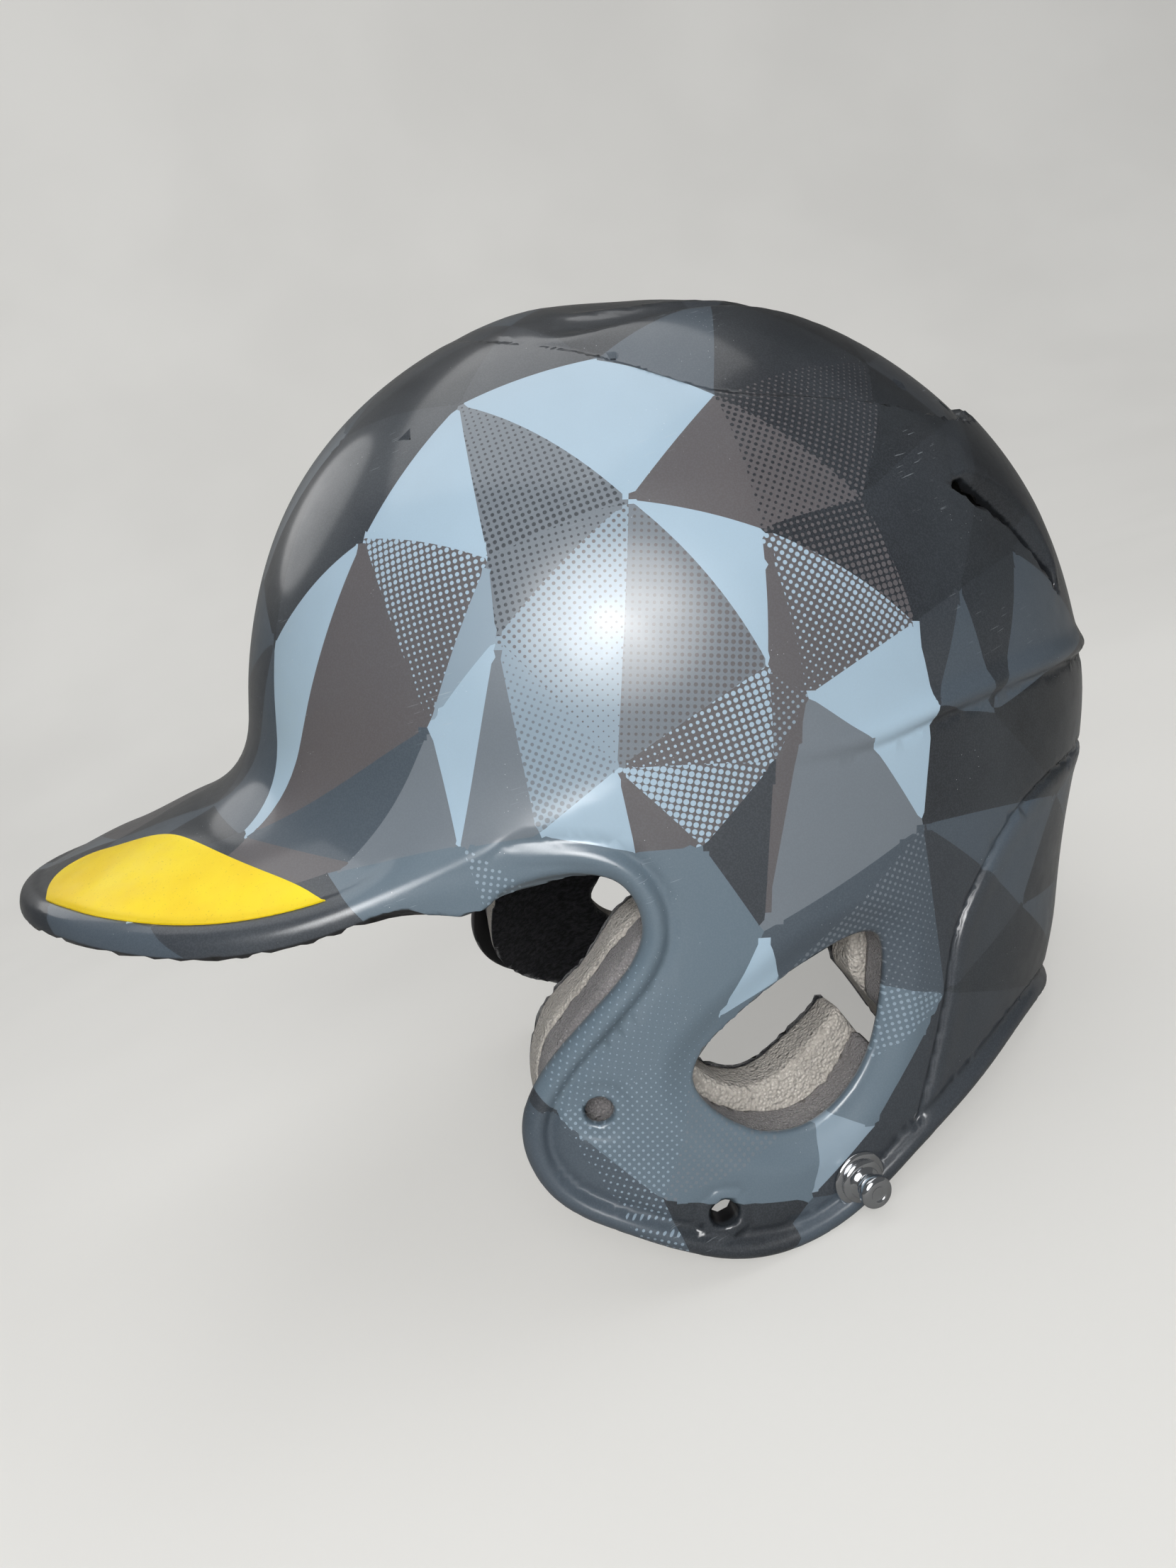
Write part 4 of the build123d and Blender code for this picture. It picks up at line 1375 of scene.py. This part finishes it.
def stage_material():
    """A pale seamless sheet that glows to the camera, darker in reflections, with painted shade where the
    key light falls on it.
    """
    n = Nodes("pale_stage")
    colour = n.mix(n.ramp(n.noise(3, 3), 0.3, 0.7), linear(178, 177, 174), linear(183, 182, 179))
    # Painted shade: the sheet's colour darkens towards and under the key light, against the bright pool that
    # light makes on it.
    painted_key_shade = n.ramp(n.add("SeparateXYZ", Vector=n.place()).outputs["X"], 0.3, 0.9)
    colour = n.mix(painted_key_shade, colour, linear(132, 131, 129))
    rays = n.add("LightPath")
    seen = rays.outputs["Is Camera Ray"]
    reflected = n.times(rays.outputs["Is Glossy Ray"], 0.6)
    n.link(colour, n.shader.inputs["Emission Color"])
    n.link(n.times(seen, STAGE_GLOW), n.shader.inputs["Emission Strength"])
    colour = n.mix(reflected, colour, linear(86, 86, 85))
    return n.finish(colour, 0.95, Specular_IOR_Level=0.1)


def build_stage():
    """A sheet that lies under the helmet and curves up behind it."""
    bend, back, width, height = 0.9, -1.6, 5.0, 3.5
    profile = [(3.0, 0.0), (back + bend, 0.0)]
    for k in range(1, STAGE_BEND_STEPS + 1):
        turn = pi / 2 * k / STAGE_BEND_STEPS
        profile.append((back + bend - bend * sin(turn), bend - bend * cos(turn)))
    profile.append((back, height))
    points = [(x, y, z) for x, z in profile for y in (-width, width)]
    faces = [[2 * k, 2 * k + 1, 2 * k + 3, 2 * k + 2] for k in range(len(profile) - 1)]
    MATERIALS["pale_stage"] = stage_material()
    sheet = new_object("seamless_sheet", points, faces, "pale_stage")
    sheet.data.polygons.foreach_set("use_smooth", [True] * len(faces))


def add_lamp(name, kind, place, power):
    """A lamp of one of Blender's kinds at a place."""
    light = bpy.data.lights.new(name, kind)
    light.energy = power
    lamp = bpy.data.objects.new(name, light)
    lamp.location = place
    bpy.context.collection.objects.link(lamp)
    return lamp


def towards_helmet(place, axis):
    """The turn that points an axis from a place to the helmet."""
    return (Vector(LIGHT_AIM) - Vector(place)).to_track_quat(axis, "Y").to_euler()


def glow_material():
    """Light that fades evenly from the middle of a panel to its edge."""
    material = bpy.data.materials.new("softbox_glow")
    material.use_nodes = True
    tree = material.node_tree
    tree.nodes.clear()
    where = tree.nodes.new("ShaderNodeTexCoord")
    fade = tree.nodes.new("ShaderNodeTexGradient")
    fade.gradient_type = "SPHERICAL"
    glow = tree.nodes.new("ShaderNodeEmission")
    times = tree.nodes.new("ShaderNodeMath")
    times.operation = "MULTIPLY"
    times.inputs[1].default_value = KEY_POWER
    out = tree.nodes.new("ShaderNodeOutputMaterial")
    tree.links.new(where.outputs["Object"], fade.inputs[0])
    tree.links.new(fade.outputs["Fac"], times.inputs[0])
    tree.links.new(times.outputs[0], glow.inputs["Strength"])
    tree.links.new(glow.outputs[0], out.inputs["Surface"])
    return material


def build_key_panel():
    """A round soft light behind and above the camera, with no hard edge to its reflection."""
    bpy.ops.mesh.primitive_circle_add(vertices=48, radius=1, fill_type="NGON", location=KEY_PLACE)
    panel = bpy.context.object
    panel.name = "key_panel"
    panel.scale = (KEY_RADIUS, KEY_RADIUS, KEY_RADIUS)
    panel.rotation_euler = towards_helmet(KEY_PLACE, "Z")
    panel.data.materials.append(glow_material())
    panel.visible_camera = False


def build_lights():
    """Even light from the room, the key panel, a softbox overhead and a weak fill from the far side."""
    room = bpy.data.worlds.new("room")
    room.use_nodes = True
    background = room.node_tree.nodes["Background"]
    background.inputs["Color"].default_value = (0.86, 0.88, 0.90, 1)
    tree = room.node_tree
    rays = tree.nodes.new("ShaderNodeLightPath")
    strength = None
    for ray, change in (("Is Glossy Ray", -ROOM_GLOSS_CUT), ("Is Camera Ray", ROOM_SEEN)):
        add = tree.nodes.new("ShaderNodeMath")
        add.operation = "MULTIPLY_ADD"
        add.inputs[1].default_value = change
        add.inputs[2].default_value = ROOM_STRENGTH
        tree.links.new(rays.outputs[ray], add.inputs[0])
        if strength:
            tree.links.new(strength, add.inputs[2])
        strength = add.outputs[0]
    tree.links.new(strength, background.inputs["Strength"])
    bpy.context.scene.world = room
    build_key_panel()
    top = add_lamp("top", "AREA", TOP_PLACE, TOP_POWER)
    top.data.size = TOP_SIZE
    top.rotation_euler = towards_helmet(TOP_PLACE, "-Z")
    fill = add_lamp("fill", "POINT", FILL_PLACE, FILL_POWER)
    fill.data.shadow_soft_size = FILL_RADIUS


def build_camera():
    """The photograph's view of the helmet."""
    camera = bpy.data.cameras.new("camera")
    camera.lens = CAMERA_LENS
    camera.sensor_width = SENSOR
    camera.clip_start = 0.01
    eye = bpy.data.objects.new("camera", camera)
    bpy.context.collection.objects.link(eye)
    turn = Matrix((CAMERA_RIGHT, CAMERA_UP, CAMERA_RIGHT.cross(CAMERA_UP))).transposed()
    eye.matrix_world = Matrix.Translation(CAMERA_PLACE) @ turn.to_4x4()
    bpy.context.scene.camera = eye


build_shell()
build_pads()
build_fixings()
build_sticker()
build_stage()
build_lights()
build_camera()
bpy.context.scene.view_settings.view_transform = "Standard"
